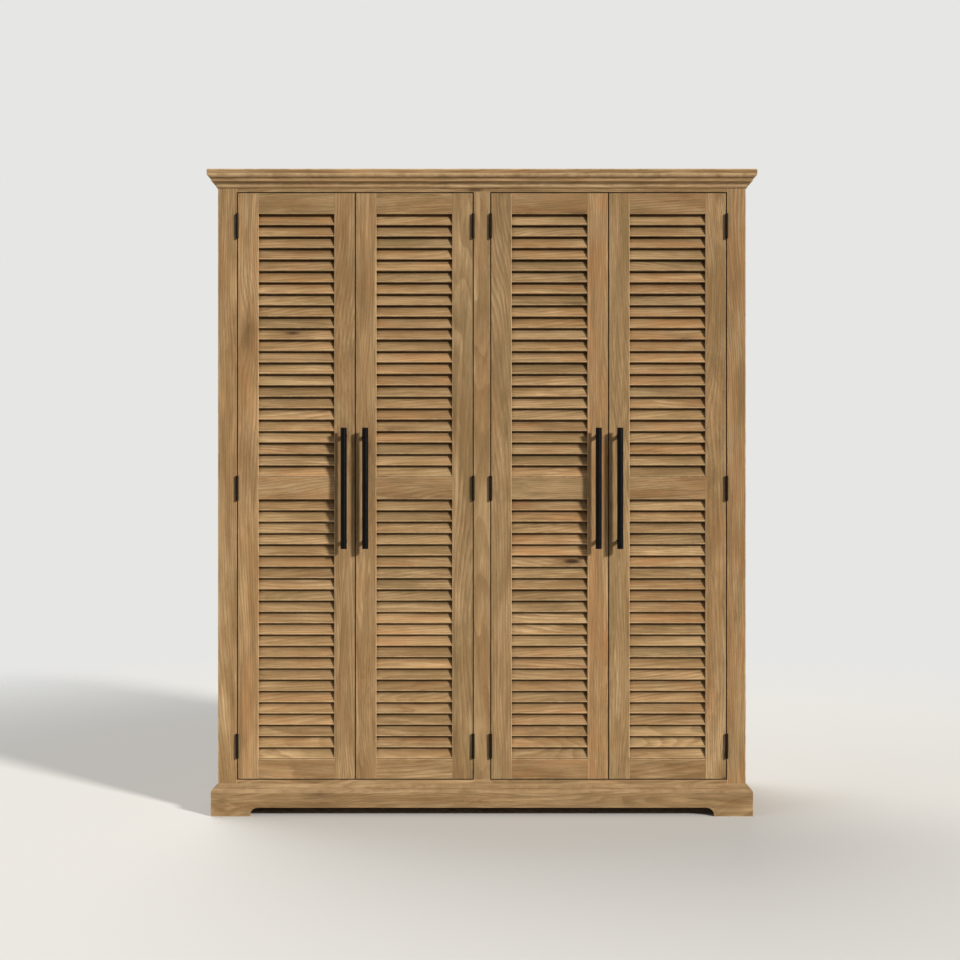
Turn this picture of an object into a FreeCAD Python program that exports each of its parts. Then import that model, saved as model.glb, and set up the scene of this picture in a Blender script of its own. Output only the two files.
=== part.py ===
import FreeCAD, Part
import math
import os
import Sketcher

# Wardrobe with four louvred doors in two pairs, a mitred cornice and a bracket-foot plinth.
# Millimetres. X runs to the right, Y to the back and Z up. The origin lies on the floor,
# under the middle of the box that holds the whole piece, handles included.

doc = FreeCAD.newDocument("wardrobe")

# Driving dimensions
sizes = {
    # carcass
    "case_width": 1630,
    "case_depth": 560,
    "overall_height": 1990,
    "panel_thick": 20,
    "board_thick": 18,
    "back_thick": 6,
    "back_rebate": 10,
    "housing_depth": 6,
    "partition_housing": 5,
    "stop_lap": 8,
    "stop_gap": 1,
    "hat_space": 262,
    "shelf_setback": 30,
    "bearer_setback": 60,
    # face frame
    "side_stile_width": 59,
    "centre_stile_width": 52,
    "frieze_height": 14,
    "sill_height": 12,
    "sill_rail_width": 64,
    "corner_arris": 3,
    "arris": 1.5,
    "tenon_thick": 8,
    "tenon_length": 30,
    "tenon_shoulder": 10,
    # cornice
    "top_board_thick": 26,
    "top_board_reach": 30,
    "top_board_round": 4,
    "top_board_ovolo": 12,
    "moulding_height": 27.5,
    "bead_height": 10.5,
    "bead_reach": 18,
    "bead_round": 2,
    "strip_height": 5.5,
    "strip_reach": 4,
    "strip_round": 1,
    # plinth
    "plinth_height": 97.5,
    "plinth_reach": 19,
    "ogee_height": 26,
    "ogee_lip": 1,
    "foot_width": 120,
    "arch_height": 26.5,
    "arch_radius": 24,
    # doors
    "door_thick": 25,
    "door_gap": 2,
    "door_stile_width": 64,
    "door_top_rail": 64,
    "door_mid_rail": 68,
    "door_bottom_rail": 61,
    "mid_height": 1009,
    "lead_bevel": 0.6,
    # louvres
    "slats_in_panel": 23,
    "slat_width": 37,
    "slat_thick": 7,
    "slat_round": 2,
    "slat_tilt": 26,
    "slat_inset": 1.7,
    "slat_housing": 8,
    "slot_fit": 0.1,
    "slat_rail_gap": 0.2,
    # hinges
    "hinge_length": 76,
    "hinge_inset": 102,
    "knuckle_count": 5,
    "knuckle_radius": 4.5,
    "knuckle_gap": 0.3,
    "barrel_gap": 0.5,
    "pin_radius": 2.5,
    "pin_fit": 0.05,
    "pin_head_radius": 3.6,
    "pin_head_height": 1.6,
    "leaf_thick": 1.6,
    "leaf_gap": 0.4,
    "leaf_depth": 22,
    "leaf_hole_radius": 2.1,
    "leaf_sink_radius": 3.6,
    "hole_offset_share": 0.2,
    "hole_spacing_share": 0.33,
    # handles
    "handle_length": 372,
    "handle_radius": 9.5,
    "handle_bevel": 0.8,
    "handle_reach": 42,
    "post_radius": 6,
    "post_spacing": 324,
    "screw_radius": 2,
    "screw_play": 0.3,
    "screw_fit": 0.05,
    "screw_bite": 9,
    "screw_head_radius": 4.5,
    "screw_head_height": 2.2,
    # catches
    "catch_width": 40,
    "catch_height": 14,
    "catch_depth": 20,
    "catch_ear": 8,
    "catch_ear_thick": 3,
    "strike_width": 44,
    "strike_thick": 1.2,
    "strike_round": 3,
    "catch_gap": 0.3,
    # hanging rails
    "rail_radius": 12.5,
    "rail_wall": 1.5,
    "rail_drop": 70,
    "socket_flange_radius": 28,
    "socket_flange_thick": 3,
    "socket_radius": 16,
    "socket_depth": 14,
    "socket_fit": 0.3,
    "rail_end_gap": 0.5,
    # wall rails
    "wall_rail_height": 90,
    "wall_rail_thick": 20,
    "wall_hole_radius": 3,
    "wall_hole_spacing": 900,
    # how far every cut runs past the wood
    "overrun": 5,
}

dim = doc.addObject("Spreadsheet::Sheet", "dim")
for row, (alias, size) in enumerate(sizes.items(), 1):
    dim.set("A%d" % row, alias)
    dim.set("B%d" % row, str(size))
    dim.setAlias("B%d" % row, alias)

# Places and sizes that follow from the driving dimensions
layout = {
    # depth
    "front": "-(dim.case_depth - dim.handle_reach) / 2",
    "back": "lay.front + dim.case_depth",
    "frame_thick": "dim.door_thick + dim.stop_gap",
    "frame_back": "lay.front + lay.frame_thick",
    "panel_back": "lay.back - dim.back_thick",
    "inner_depth": "lay.panel_back - lay.frame_back",
    # width
    "half_case": "dim.case_width / 2",
    "side_inner": "lay.half_case - dim.panel_thick",
    "opening_edge": "lay.half_case - dim.side_stile_width",
    "bay_width": "lay.side_inner - dim.panel_thick / 2",
    # height
    "moulding_top": "dim.overall_height - dim.top_board_thick",
    "moulding_bottom": "lay.moulding_top - dim.moulding_height",
    "head_bottom": "lay.moulding_bottom - dim.frieze_height",
    "sill_top": "dim.plinth_height + dim.sill_height",
    "sill_bottom": "lay.sill_top - dim.sill_rail_width",
    "floor_top": "lay.sill_top + dim.stop_lap",
    "floor_under": "lay.floor_top - dim.board_thick",
    "ceiling_under": "lay.head_bottom - dim.stop_lap",
    "shelf_under": "lay.ceiling_under - dim.hat_space - dim.board_thick",
    "cove_radius": "dim.moulding_height - dim.bead_height - dim.strip_height",
    # plinth: half the depth of its ogee, the radius of both its bends, and the arches from foot to foot
    "ogee_half": "(dim.plinth_reach - dim.ogee_lip) / 2",
    "ogee_radius": "(lay.ogee_half ^ 2 + (dim.ogee_height / 2) ^ 2) / (2 * lay.ogee_half)",
    "arch_side": "lay.half_case + dim.plinth_reach - dim.foot_width",
    "arch_front": "lay.front - dim.plinth_reach + dim.foot_width",
    "arch_back": "lay.back - dim.foot_width",
    # the left-hand door of the left-hand pair
    "door_left": "-lay.opening_edge + dim.door_gap",
    "door_width": "(lay.opening_edge - dim.centre_stile_width / 2 - 3 * dim.door_gap) / 2",
    "door_right": "lay.door_left + lay.door_width",
    "pair_centre": "lay.door_right + dim.door_gap / 2",
    "door_bottom": "lay.sill_top + dim.door_gap",
    "door_top": "lay.head_bottom - dim.door_gap",
    "door_height": "lay.door_top - lay.door_bottom",
    "door_back": "lay.front + dim.door_thick",
    "panel_left": "lay.door_left + dim.door_stile_width",
    "panel_right": "lay.door_right - dim.door_stile_width",
    "panel_width": "lay.panel_right - lay.panel_left",
    "mid_rail_bottom": "dim.mid_height - dim.door_mid_rail / 2",
    "lower_bottom": "lay.door_bottom + dim.door_bottom_rail",
    "lower_height": "lay.mid_rail_bottom - lay.lower_bottom",
    "upper_bottom": "lay.mid_rail_bottom + dim.door_mid_rail",
    "upper_height": "lay.door_top - dim.door_top_rail - lay.upper_bottom",
    # louvres
    "slat_trim": "dim.slat_round * (cos(dim.slat_tilt) + sin(dim.slat_tilt) - 1)",
    "slat_dip": "dim.slat_thick * sin(dim.slat_tilt) - lay.slat_trim",
    "slat_rise": "dim.slat_width * cos(dim.slat_tilt) - lay.slat_trim + lay.slat_dip",
    "slat_front": "lay.front + dim.slat_inset - lay.slat_trim",
    "lower_pitch": "(lay.lower_height - lay.slat_rise - 2 * dim.slat_rail_gap) / (dim.slats_in_panel - 1)",
    "upper_pitch": "(lay.upper_height - lay.slat_rise - 2 * dim.slat_rail_gap) / (dim.slats_in_panel - 1)",
    # hinges
    "hinge_x": "-lay.opening_edge + dim.door_gap / 2",
    "hinge_out": "dim.knuckle_radius + dim.barrel_gap",
    "hinge_y": "lay.front - lay.hinge_out",
    "hinge_low": "lay.door_bottom + dim.hinge_inset",
    "hinge_high": "lay.door_top - dim.hinge_inset",
    "leaf_sink": "dim.leaf_thick + dim.leaf_gap / 2 - dim.door_gap / 2",
    "knuckle_pitch": "dim.hinge_length / dim.knuckle_count",
    "pin_bore": "dim.pin_radius + dim.pin_fit",
    # handles and catches
    "handle_x": "lay.door_right - dim.door_stile_width / 2",
    "bar_out": "dim.handle_reach - dim.handle_radius",
    "catch_y": "lay.door_back + dim.strike_thick + dim.catch_gap",
    # hanging rails
    "rail_y": "lay.frame_back + lay.inner_depth / 2",
    "rail_z": "lay.shelf_under - dim.rail_drop",
    "rail_end": "dim.socket_flange_thick + dim.rail_end_gap",
}

lay = doc.addObject("App::VarSet", "lay")
for name, rule in layout.items():
    lay.addProperty("App::PropertyFloat", name)
    lay.setExpression(name, rule)
doc.recompute()

# A set of its own reads the value of any rule, for the first shape of a sketch and to find edges
probe = doc.addObject("App::VarSet", "probe")
probe.addProperty("App::PropertyFloat", "reading")
tolerance = 0.001
nodes = {}


def value(rule):
    probe.setExpression("reading", rule)
    probe.recompute()
    return probe.reading


def keep(piece, label):
    piece.Label = label
    nodes[label] = piece
    return piece


def new_body(name):
    return doc.addObject("PartDesign::Body", name)


def origin_part(body, role):
    return next(part for part in body.Origin.OriginFeatures if part.Role == role)


def block(body, name, x, y, z, cut=False):
    """A board or a square cut. Each direction is given as (where it starts, how long it is)."""
    feature = body.newObject("PartDesign::SubtractiveBox" if cut else "PartDesign::AdditiveBox", name)
    for axis, side, (start, size) in zip("xyz", ("Length", "Width", "Height"), (x, y, z)):
        feature.setExpression("Placement.Base." + axis, start)
        feature.setExpression(side, size)
    return feature


def pointing(along):
    """A placement that turns the Z axis towards another axis."""
    axis = FreeCAD.Vector(*[float(letter == along) for letter in "xyz"])
    return FreeCAD.Placement(FreeCAD.Vector(), FreeCAD.Rotation(FreeCAD.Vector(0, 0, 1), axis))


def rod(body, name, radius, length, start, along="z", cut=False):
    """A round bar or a drilled hole from its start, along one axis."""
    kind = "PartDesign::SubtractiveCylinder" if cut else "PartDesign::AdditiveCylinder"
    feature = body.newObject(kind, name)
    feature.setExpression("Radius", radius)
    feature.setExpression("Height", length)
    feature.Placement = pointing(along)
    for axis, place in zip("xyz", start):
        feature.setExpression("Placement.Base." + axis, place)
    return feature


def long_edges(feature, along, places):
    """Names of the edges that run along one axis, at the given places on the other axes."""
    doc.recompute()
    found = []
    for number, edge in enumerate(feature.Shape.Edges, 1):
        start = edge.Vertexes[0].Point
        run = edge.Vertexes[-1].Point - start
        straight = run.Length > tolerance and abs(abs(getattr(run, along)) - run.Length) < tolerance
        offsets = [abs(getattr(start, axis) - value(place)) for axis, place in places.items()]
        if straight and max(offsets, default=0) < tolerance:
            found.append("Edge%d" % number)
    return found


def rims(feature, depth=None):
    """Names of the round edges: all of them, or those that lie flat at one depth."""
    doc.recompute()
    found = []
    for number, edge in enumerate(feature.Shape.Edges, 1):
        if edge.isClosed() and (depth is None or abs(edge.BoundBox.YMin - value(depth)) < tolerance):
            found.append("Edge%d" % number)
    return found


def round_named(body, feature, radius, edges):
    fillet = body.newObject("PartDesign::Fillet", "rounded")
    fillet.Base = (feature, edges)
    fillet.setExpression("Radius", radius)
    return fillet


def round_edges(body, feature, radius, along, **places):
    return round_named(body, feature, radius, long_edges(feature, along, places))


def repeat(body, features, along, count, pitch):
    pattern = body.newObject("PartDesign::LinearPattern", "row")
    pattern.Originals = features
    pattern.Direction = (origin_part(body, along.upper() + "_Axis"), [""])
    pattern.setExpression("Occurrences", count)
    pattern.setExpression("Length", "(%s - 1) * %s" % (count, pitch))
    body.Tip = pattern
    return pattern


def outline(body, name, plane, corners, arcs=None):
    """A closed outline on an origin plane. arcs gives, for the corner that an arc leaves, its radius and
    whether it turns left (1) or right (-1)."""
    arcs = arcs or {}
    sketch = body.newObject("Sketcher::SketchObject", name)
    sketch.AttachmentSupport = [(origin_part(body, plane), "")]
    sketch.MapMode = "FlatFace"
    points = [FreeCAD.Vector(value(across), value(up), 0) for across, up in corners]
    ends = []
    for index, start in enumerate(points):
        stop = points[(index + 1) % len(points)]
        if index not in arcs:
            sketch.addGeometry(Part.LineSegment(start, stop), False)
            ends.append((1, 2))
            continue
        rule, turn = arcs[index]
        radius = value(rule)
        chord = stop - start
        left = FreeCAD.Vector(-chord.y, chord.x, 0).normalize()
        rise = math.sqrt(max(radius ** 2 - (chord.Length / 2) ** 2, 0))
        centre = (start + stop) / 2 + left * rise * turn
        first, last = (start, stop) if turn > 0 else (stop, start)
        angles = [math.atan2(point.y - centre.y, point.x - centre.x) for point in (first, last)]
        circle = Part.Circle(centre, FreeCAD.Vector(0, 0, 1), radius)
        sketch.addGeometry(Part.ArcOfCircle(circle, *angles), False)
        ends.append((1, 2) if turn > 0 else (2, 1))
    for index in range(len(points)):
        after = (index + 1) % len(points)
        sketch.addConstraint(Sketcher.Constraint("Coincident", index, ends[index][1], after, ends[after][0]))
    for index, rules in enumerate(corners):
        point = points[index]
        for kind, rule, place, axis in zip(("DistanceX", "DistanceY"), rules, (point.x, point.y), (-2, -1)):
            if rule == "0":
                sketch.addConstraint(Sketcher.Constraint("PointOnObject", index, ends[index][0], axis))
                continue
            number = sketch.addConstraint(Sketcher.Constraint(kind, index, ends[index][0], place))
            sketch.setExpression("Constraints[%d]" % number, rule)
    for index, (rule, turn) in arcs.items():
        number = sketch.addConstraint(Sketcher.Constraint("Radius", index, value(rule)))
        sketch.setExpression("Constraints[%d]" % number, rule)
    return sketch


def pad(body, sketch, length, other_way=None, centred=False):
    feature = body.newObject("PartDesign::Pad", "board")
    feature.Profile = sketch
    feature.setExpression("Length", length)
    if centred:
        feature.SideType = "Symmetric"
    if other_way:
        feature.SideType = "Two sides"
        feature.setExpression("Length2", other_way)
    return feature


def cut_through(body, sketch):
    """Cuts an outline right through, both ways from its plane, and makes sure that wood came away."""
    whole = body.Tip
    pocket = body.newObject("PartDesign::Pocket", "cut_through")
    pocket.Profile = sketch
    pocket.SideType = "Two sides"
    pocket.Type = "ThroughAll"
    pocket.Type2 = "ThroughAll"
    doc.recompute()
    if not pocket.Shape.Volume < whole.Shape.Volume:
        raise ValueError(sketch.Label + " cuts nothing")
    return pocket


def mirrored(source, plane, name):
    """The same piece on the other side of an upright plane across X."""
    copy = doc.addObject("Part::Mirroring", name)
    copy.Source = source
    copy.Normal = FreeCAD.Vector(1, 0, 0)
    copy.setExpression("Base.x", plane)
    return copy


def group(pieces, name):
    compound = doc.addObject("Part::Compound", name)
    compound.Links = pieces
    return compound


def placed(source, name, x, y, z):
    copy = doc.addObject("App::Link", name)
    copy.LinkedObject = source
    for axis, place in zip("xyz", (x, y, z)):
        copy.setExpression("Placement.Base." + axis, place)
    return copy


def all_four(first, name):
    """Repeats what belongs to the first door at the other three."""
    pair = group([first, mirrored(first, "lay.pair_centre", name + "_second")], name + "_left_pair")
    return group([pair, mirrored(pair, "0", name + "_right_pair")], name)


# Upright carcass boards

shelf_front = "lay.frame_back + dim.shelf_setback"
shelf_run = (shelf_front, "lay.inner_depth - dim.shelf_setback")


def arch_outline(body, plane, start, stop):
    """The cut between two feet, with a round shoulder over each foot."""
    spring = "dim.arch_height - dim.arch_radius"
    corners = [
        (start, spring),
        (start + " + dim.arch_radius", "dim.arch_height"),
        (stop + " - dim.arch_radius", "dim.arch_height"),
        (stop, spring),
        (stop, "-dim.overrun"),
        (start, "-dim.overrun"),
    ]
    return outline(body, "arch", plane, corners, {0: ("dim.arch_radius", -1), 2: ("dim.arch_radius", -1)})


def left_side():
    body = new_body("left_side")
    depth = ("lay.frame_back", "lay.back - lay.frame_back")
    block(body, "panel", ("-lay.half_case", "dim.panel_thick"), depth, ("0", "lay.moulding_top"))
    housing = ("-lay.side_inner - dim.housing_depth", "dim.housing_depth + dim.overrun")
    board_run = ("lay.frame_back - dim.overrun", "lay.inner_depth + dim.overrun")
    block(body, "floor_housing", housing, board_run, ("lay.floor_under", "dim.board_thick"), cut=True)
    block(body, "ceiling_housing", housing, board_run, ("lay.ceiling_under", "dim.board_thick"), cut=True)
    block(body, "shelf_housing", housing, shelf_run, ("lay.shelf_under", "dim.board_thick"), cut=True)
    rebate = ("-lay.side_inner - dim.back_rebate", "dim.back_rebate + dim.overrun")
    rebate_depth = ("lay.panel_back", "dim.back_thick + dim.overrun")
    rebate_height = ("lay.floor_under", "lay.moulding_top - lay.floor_under + dim.overrun")
    block(body, "back_rebate", rebate, rebate_depth, rebate_height, cut=True)
    cut_through(body, arch_outline(body, "YZ_Plane", "lay.arch_front", "lay.arch_back"))
    return keep(body, "left_side")


def centre_partition():
    body = new_body("centre_partition")
    foot = "lay.floor_top - dim.partition_housing"
    height = "lay.ceiling_under - lay.floor_top + 2 * dim.partition_housing"
    thick = ("-dim.panel_thick / 2", "dim.panel_thick")
    block(body, "panel", thick, ("lay.frame_back", "lay.inner_depth"), (foot, height))
    shelf = ("lay.shelf_under", "dim.board_thick")
    left = ("-dim.panel_thick / 2 - dim.overrun", "dim.partition_housing + dim.overrun")
    right = ("dim.panel_thick / 2 - dim.partition_housing", "dim.partition_housing + dim.overrun")
    block(body, "left_shelf_housing", left, shelf_run, shelf, cut=True)
    block(body, "right_shelf_housing", right, shelf_run, shelf, cut=True)
    return keep(body, "centre_partition")


def centre_bearer():
    """Stands under the partition, well back from the plinth, so that the floor panel can't sag."""
    body = new_body("centre_bearer")
    depth = ("lay.frame_back + dim.bearer_setback", "lay.inner_depth - dim.bearer_setback")
    block(body, "board", ("-dim.panel_thick / 2", "dim.panel_thick"), depth, ("0", "lay.floor_under"))
    return keep(body, "centre_bearer")


# Level carcass boards

def housed_board(label, under, partition_side):
    """A board between the sides, housed into them, with a housing of its own for the partition."""
    body = new_body(label)
    width = ("-lay.side_inner - dim.housing_depth", "2 * (lay.side_inner + dim.housing_depth)")
    depth = ("lay.frame_back", "lay.inner_depth")
    block(body, "board", width, depth, (under, "dim.board_thick"))
    housing = ("-dim.panel_thick / 2", "dim.panel_thick")
    whole_depth = ("lay.frame_back - dim.overrun", "lay.inner_depth + 2 * dim.overrun")
    block(body, "partition_housing", housing, whole_depth, partition_side, cut=True)
    return keep(body, label)


def top_board():
    """A board with a small rounding over, and a large one under, its front edge and both ends."""
    body = new_body("top_board")
    edge = "lay.half_case + dim.top_board_reach"
    width = ("-(%s)" % edge, "2 * (%s)" % edge)
    front = "lay.front - dim.top_board_reach"
    depth = (front, "dim.case_depth + dim.top_board_reach")
    board = block(body, "board", width, depth, ("lay.moulding_top", "dim.top_board_thick"))
    radii = {"lay.moulding_top": "dim.top_board_ovolo", "dim.overall_height": "dim.top_board_round"}
    for height, radius in radii.items():
        rim = long_edges(board, "x", {"y": front, "z": height})
        for end in ("-(%s)" % edge, edge):
            rim += long_edges(board, "y", {"x": end, "z": height})
        board = round_named(body, board, radius, rim)
    return keep(body, "top_board")


def hat_shelves():
    body = new_body("left_hat_shelf")
    length = "lay.bay_width + dim.housing_depth + dim.partition_housing"
    width = ("-lay.side_inner - dim.housing_depth", length)
    board = block(body, "board", width, shelf_run, ("lay.shelf_under", "dim.board_thick"))
    round_edges(body, board, "dim.arris", "x", y=shelf_front)
    return keep(group([body, mirrored(body, "0", "right_hat_shelf")], "hat_shelves"), "hat_shelves")


def back_panels():
    """Two thin panels that meet on the partition, each drilled for one wall screw."""
    body = new_body("left_back_panel")
    width = ("-lay.side_inner - dim.back_rebate", "lay.side_inner + dim.back_rebate")
    height = ("lay.floor_under", "lay.moulding_top - lay.floor_under")
    block(body, "panel", width, ("lay.panel_back", "dim.back_thick"), height)
    wall_hole(body)
    return keep(group([body, mirrored(body, "0", "right_back_panel")], "back_panels"), "back_panels")


def wall_hole(body):
    start = ("-dim.wall_hole_spacing / 2", "lay.frame_back", "lay.ceiling_under - dim.wall_rail_height / 2")
    length = "lay.inner_depth + dim.back_thick + dim.overrun"
    rod(body, "wall_hole", "dim.wall_hole_radius", length, start, "y", cut=True)


def wall_rails():
    body = new_body("left_wall_rail")
    depth = ("lay.panel_back - dim.wall_rail_thick", "dim.wall_rail_thick")
    height = ("lay.ceiling_under - dim.wall_rail_height", "dim.wall_rail_height")
    block(body, "rail", ("-lay.side_inner", "lay.bay_width"), depth, height)
    wall_hole(body)
    return keep(group([body, mirrored(body, "0", "right_wall_rail")], "wall_rails"), "wall_rails")


# Face frame

frame_tenon = ("lay.front + (lay.frame_thick - dim.tenon_thick) / 2", "dim.tenon_thick")
frame_depth = ("lay.front", "lay.frame_thick")
head_rail_height = ("lay.head_bottom", "lay.moulding_top - lay.head_bottom")
sill_rail_height = ("lay.sill_bottom", "dim.sill_rail_width")
hinge_heights = ("lay.hinge_low", "dim.mid_height", "lay.hinge_high")


def shouldered(span):
    """The part of a rail's width that runs on into the mortise."""
    start, size = span
    return ("%s + dim.tenon_shoulder" % start, "%s - 2 * dim.tenon_shoulder" % size)


def hinge_recesses(body, x):
    for height in hinge_heights:
        y = ("lay.front - dim.overrun", "dim.leaf_depth + dim.overrun")
        z = ("%s - dim.hinge_length / 2" % height, "dim.hinge_length")
        block(body, "hinge_recess", x, y, z, cut=True)


def left_stile():
    body = new_body("left_stile")
    width = ("-lay.half_case", "dim.side_stile_width")
    board = block(body, "board", width, frame_depth, ("0", "lay.moulding_top"))
    rounded = round_edges(body, board, "dim.corner_arris", "z", x="-lay.half_case", y="lay.front")
    round_edges(body, rounded, "dim.arris", "z", x="-lay.opening_edge", y="lay.front")
    mortise = ("-lay.opening_edge - dim.tenon_length", "dim.tenon_length + dim.overrun")
    for rail in (head_rail_height, sill_rail_height):
        block(body, "mortise", mortise, frame_tenon, shouldered(rail), cut=True)
    hinge_recesses(body, ("-lay.opening_edge - lay.leaf_sink", "lay.leaf_sink + dim.overrun"))
    return keep(body, "left_stile")


def centre_stile():
    body = new_body("centre_stile")
    half = "dim.centre_stile_width / 2"
    tenon = "dim.tenon_length / 2"
    height = "lay.head_bottom - lay.sill_top"
    width = ("-" + half, "dim.centre_stile_width")
    board = block(body, "board", width, frame_depth, ("lay.sill_top", height))
    round_edges(body, board, "dim.arris", "z", y="lay.front")
    across = ("-%s + dim.tenon_shoulder" % half, "dim.centre_stile_width - 2 * dim.tenon_shoulder")
    block(body, "tenons", across, frame_tenon, ("lay.sill_top - " + tenon, height + " + 2 * " + tenon))
    hinge_recesses(body, ("-%s - dim.overrun" % half, "lay.leaf_sink + dim.overrun"))
    hinge_recesses(body, ("%s - lay.leaf_sink" % half, "lay.leaf_sink + dim.overrun"))
    return keep(body, "centre_stile")


def frame_rail(label, span, edge_height, mortise_start):
    """A rail between the side stiles, with a tenon at each end and a mortise for the centre stile."""
    body = new_body(label)
    board = block(body, "board", ("-lay.opening_edge", "2 * lay.opening_edge"), frame_depth, span)
    round_edges(body, board, "dim.arris", "x", y="lay.front", z=edge_height)
    length = ("-lay.opening_edge - dim.tenon_length", "2 * (lay.opening_edge + dim.tenon_length)")
    block(body, "tenons", length, frame_tenon, shouldered(span))
    half = "dim.centre_stile_width / 2"
    across = ("-%s + dim.tenon_shoulder" % half, "dim.centre_stile_width - 2 * dim.tenon_shoulder")
    block(body, "mortise", across, frame_tenon, (mortise_start, "dim.tenon_length / 2"), cut=True)
    return keep(body, label)


# Cornice and plinth, mitred at the front corners

def cornice_section(out):
    """A bead, a cove and a strip, drawn from the case outwards."""
    top, foot = "lay.moulding_top", "lay.moulding_bottom"
    under_bead = "lay.moulding_top - dim.bead_height"
    corners = [
        (out("0"), foot),
        (out("dim.strip_reach - dim.strip_round"), foot),
        (out("dim.strip_reach"), foot + " + dim.strip_round"),
        (out("dim.strip_reach"), under_bead + " - lay.cove_radius"),
        (out("dim.strip_reach + lay.cove_radius"), under_bead),
        (out("dim.bead_reach - dim.bead_round"), under_bead),
        (out("dim.bead_reach"), under_bead + " + dim.bead_round"),
        (out("dim.bead_reach"), top + " - dim.bead_round"),
        (out("dim.bead_reach - dim.bead_round"), top),
        (out("0"), top),
    ]
    bead = ("dim.bead_round", -1)
    return corners, {1: ("dim.strip_round", -1), 3: ("lay.cove_radius", 1), 5: bead, 7: bead}


def plinth_section(out):
    """A flat board under an ogee."""
    face = "dim.plinth_height - dim.ogee_height"
    corners = [
        (out("0"), "0"),
        (out("dim.plinth_reach"), "0"),
        (out("dim.plinth_reach"), face),
        (out("dim.plinth_reach - lay.ogee_half"), face + " + dim.ogee_height / 2"),
        (out("dim.ogee_lip"), "dim.plinth_height"),
        (out("0"), "dim.plinth_height"),
    ]
    return corners, {2: ("lay.ogee_radius", -1), 3: ("lay.ogee_radius", 1)}


def out_from_front(reach):
    return "lay.front - (%s)" % reach


def out_from_side(reach):
    return "-lay.half_case - (%s)" % reach


def mitre_corners(side, reach):
    """The wedge that comes off the end of the front length. side is 1 at the right-hand end."""
    across = "%s lay.half_case" % ("-" if side < 0 else "")
    end = "%s %s (%s + dim.overrun)" % (across, "-" if side < 0 else "+", reach)
    return [(across, "lay.front"), (end, "lay.front"), (end, "lay.front - %s - dim.overrun" % reach)]


def front_length(body, section, reach):
    corners, turns = section(out_from_front)
    profile = outline(body, "section", "YZ_Plane", corners, turns)
    pad(body, profile, "dim.case_width + 2 * %s" % reach, centred=True)
    for side in (1, -1):
        cut_through(body, outline(body, "mitre", "XY_Plane", mitre_corners(side, reach)))
    return body


def side_length(body, section, reach):
    corners, turns = section(out_from_side)
    profile = outline(body, "section", "XZ_Plane", corners, turns)
    pad(body, profile, "-lay.front + " + reach, other_way="lay.back")
    beyond = "lay.front - %s - dim.overrun" % reach
    outside = "-lay.half_case - %s - dim.overrun" % reach
    wedge = [("-lay.half_case", "lay.front"), (outside, beyond), ("-lay.half_case", beyond)]
    cut_through(body, outline(body, "mitre", "XY_Plane", wedge))
    return body


def cornice():
    keep(front_length(new_body("cornice_front"), cornice_section, "dim.bead_reach"), "cornice_front")
    left = side_length(new_body("left_cornice_return"), cornice_section, "dim.bead_reach")
    keep(group([left, mirrored(left, "0", "right_cornice_return")], "cornice_returns"), "cornice_returns")


def plinth():
    front = front_length(new_body("plinth_front"), plinth_section, "dim.plinth_reach")
    cut_through(front, arch_outline(front, "XZ_Plane", "-lay.arch_side", "lay.arch_side"))
    keep(front, "plinth_front")
    left = side_length(new_body("left_plinth_return"), plinth_section, "dim.plinth_reach")
    cut_through(left, arch_outline(left, "YZ_Plane", "lay.arch_front", "lay.arch_back"))
    keep(group([left, mirrored(left, "0", "right_plinth_return")], "plinth_returns"), "plinth_returns")


# Hanging rails and their end sockets

def hanging_rails():
    body = new_body("left_hanging_rail")
    start = ("-lay.side_inner + lay.rail_end", "lay.rail_y", "lay.rail_z")
    length = "lay.bay_width - 2 * lay.rail_end"
    rod(body, "tube", "dim.rail_radius", length, start, "x")
    rod(body, "hollow", "dim.rail_radius - dim.rail_wall", length, start, "x", cut=True)
    keep(group([body, mirrored(body, "0", "right_hanging_rail")], "hanging_rails"), "hanging_rails")


def rail_sockets():
    body = new_body("outer_rail_socket")
    start = ("-lay.side_inner", "lay.rail_y", "lay.rail_z")
    rod(body, "flange", "dim.socket_flange_radius", "dim.socket_flange_thick", start, "x")
    rod(body, "cup", "dim.socket_radius", "dim.socket_depth", start, "x")
    mouth = ("-lay.side_inner + dim.socket_flange_thick", "lay.rail_y", "lay.rail_z")
    rod(body, "bore", "dim.rail_radius + dim.socket_fit", "dim.socket_depth", mouth, "x", cut=True)
    bay_centre = "-(lay.side_inner + dim.panel_thick / 2) / 2"
    bay = group([body, mirrored(body, bay_centre, "inner_rail_socket")], "left_rail_sockets")
    keep(group([bay, mirrored(bay, "0", "right_rail_sockets")], "rail_sockets"), "rail_sockets")


# Hinges. A leaf is drawn about its own pin, with the middle of the hinge at zero height

def hinge_leaf(name, x, first_knuckle, count):
    body = new_body(name)
    bottom = "-dim.hinge_length / 2"
    block(body, "plate", x, ("lay.hinge_out", "dim.leaf_depth"), (bottom, "dim.hinge_length"))
    start = "%s + %s * lay.knuckle_pitch + dim.knuckle_gap / 2" % (bottom, first_knuckle)
    height = "lay.knuckle_pitch - dim.knuckle_gap"
    root = block(body, "root", x, ("lay.pin_bore", "lay.hinge_out - lay.pin_bore"), (start, height))
    knuckle = rod(body, "knuckle", "dim.knuckle_radius", height, ("0", "0", start))
    repeat(body, [root, knuckle], "z", count, "2 * lay.knuckle_pitch")
    rod(body, "pin_bore", "lay.pin_bore", "dim.hinge_length", ("0", "0", bottom), cut=True)
    return body


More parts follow.
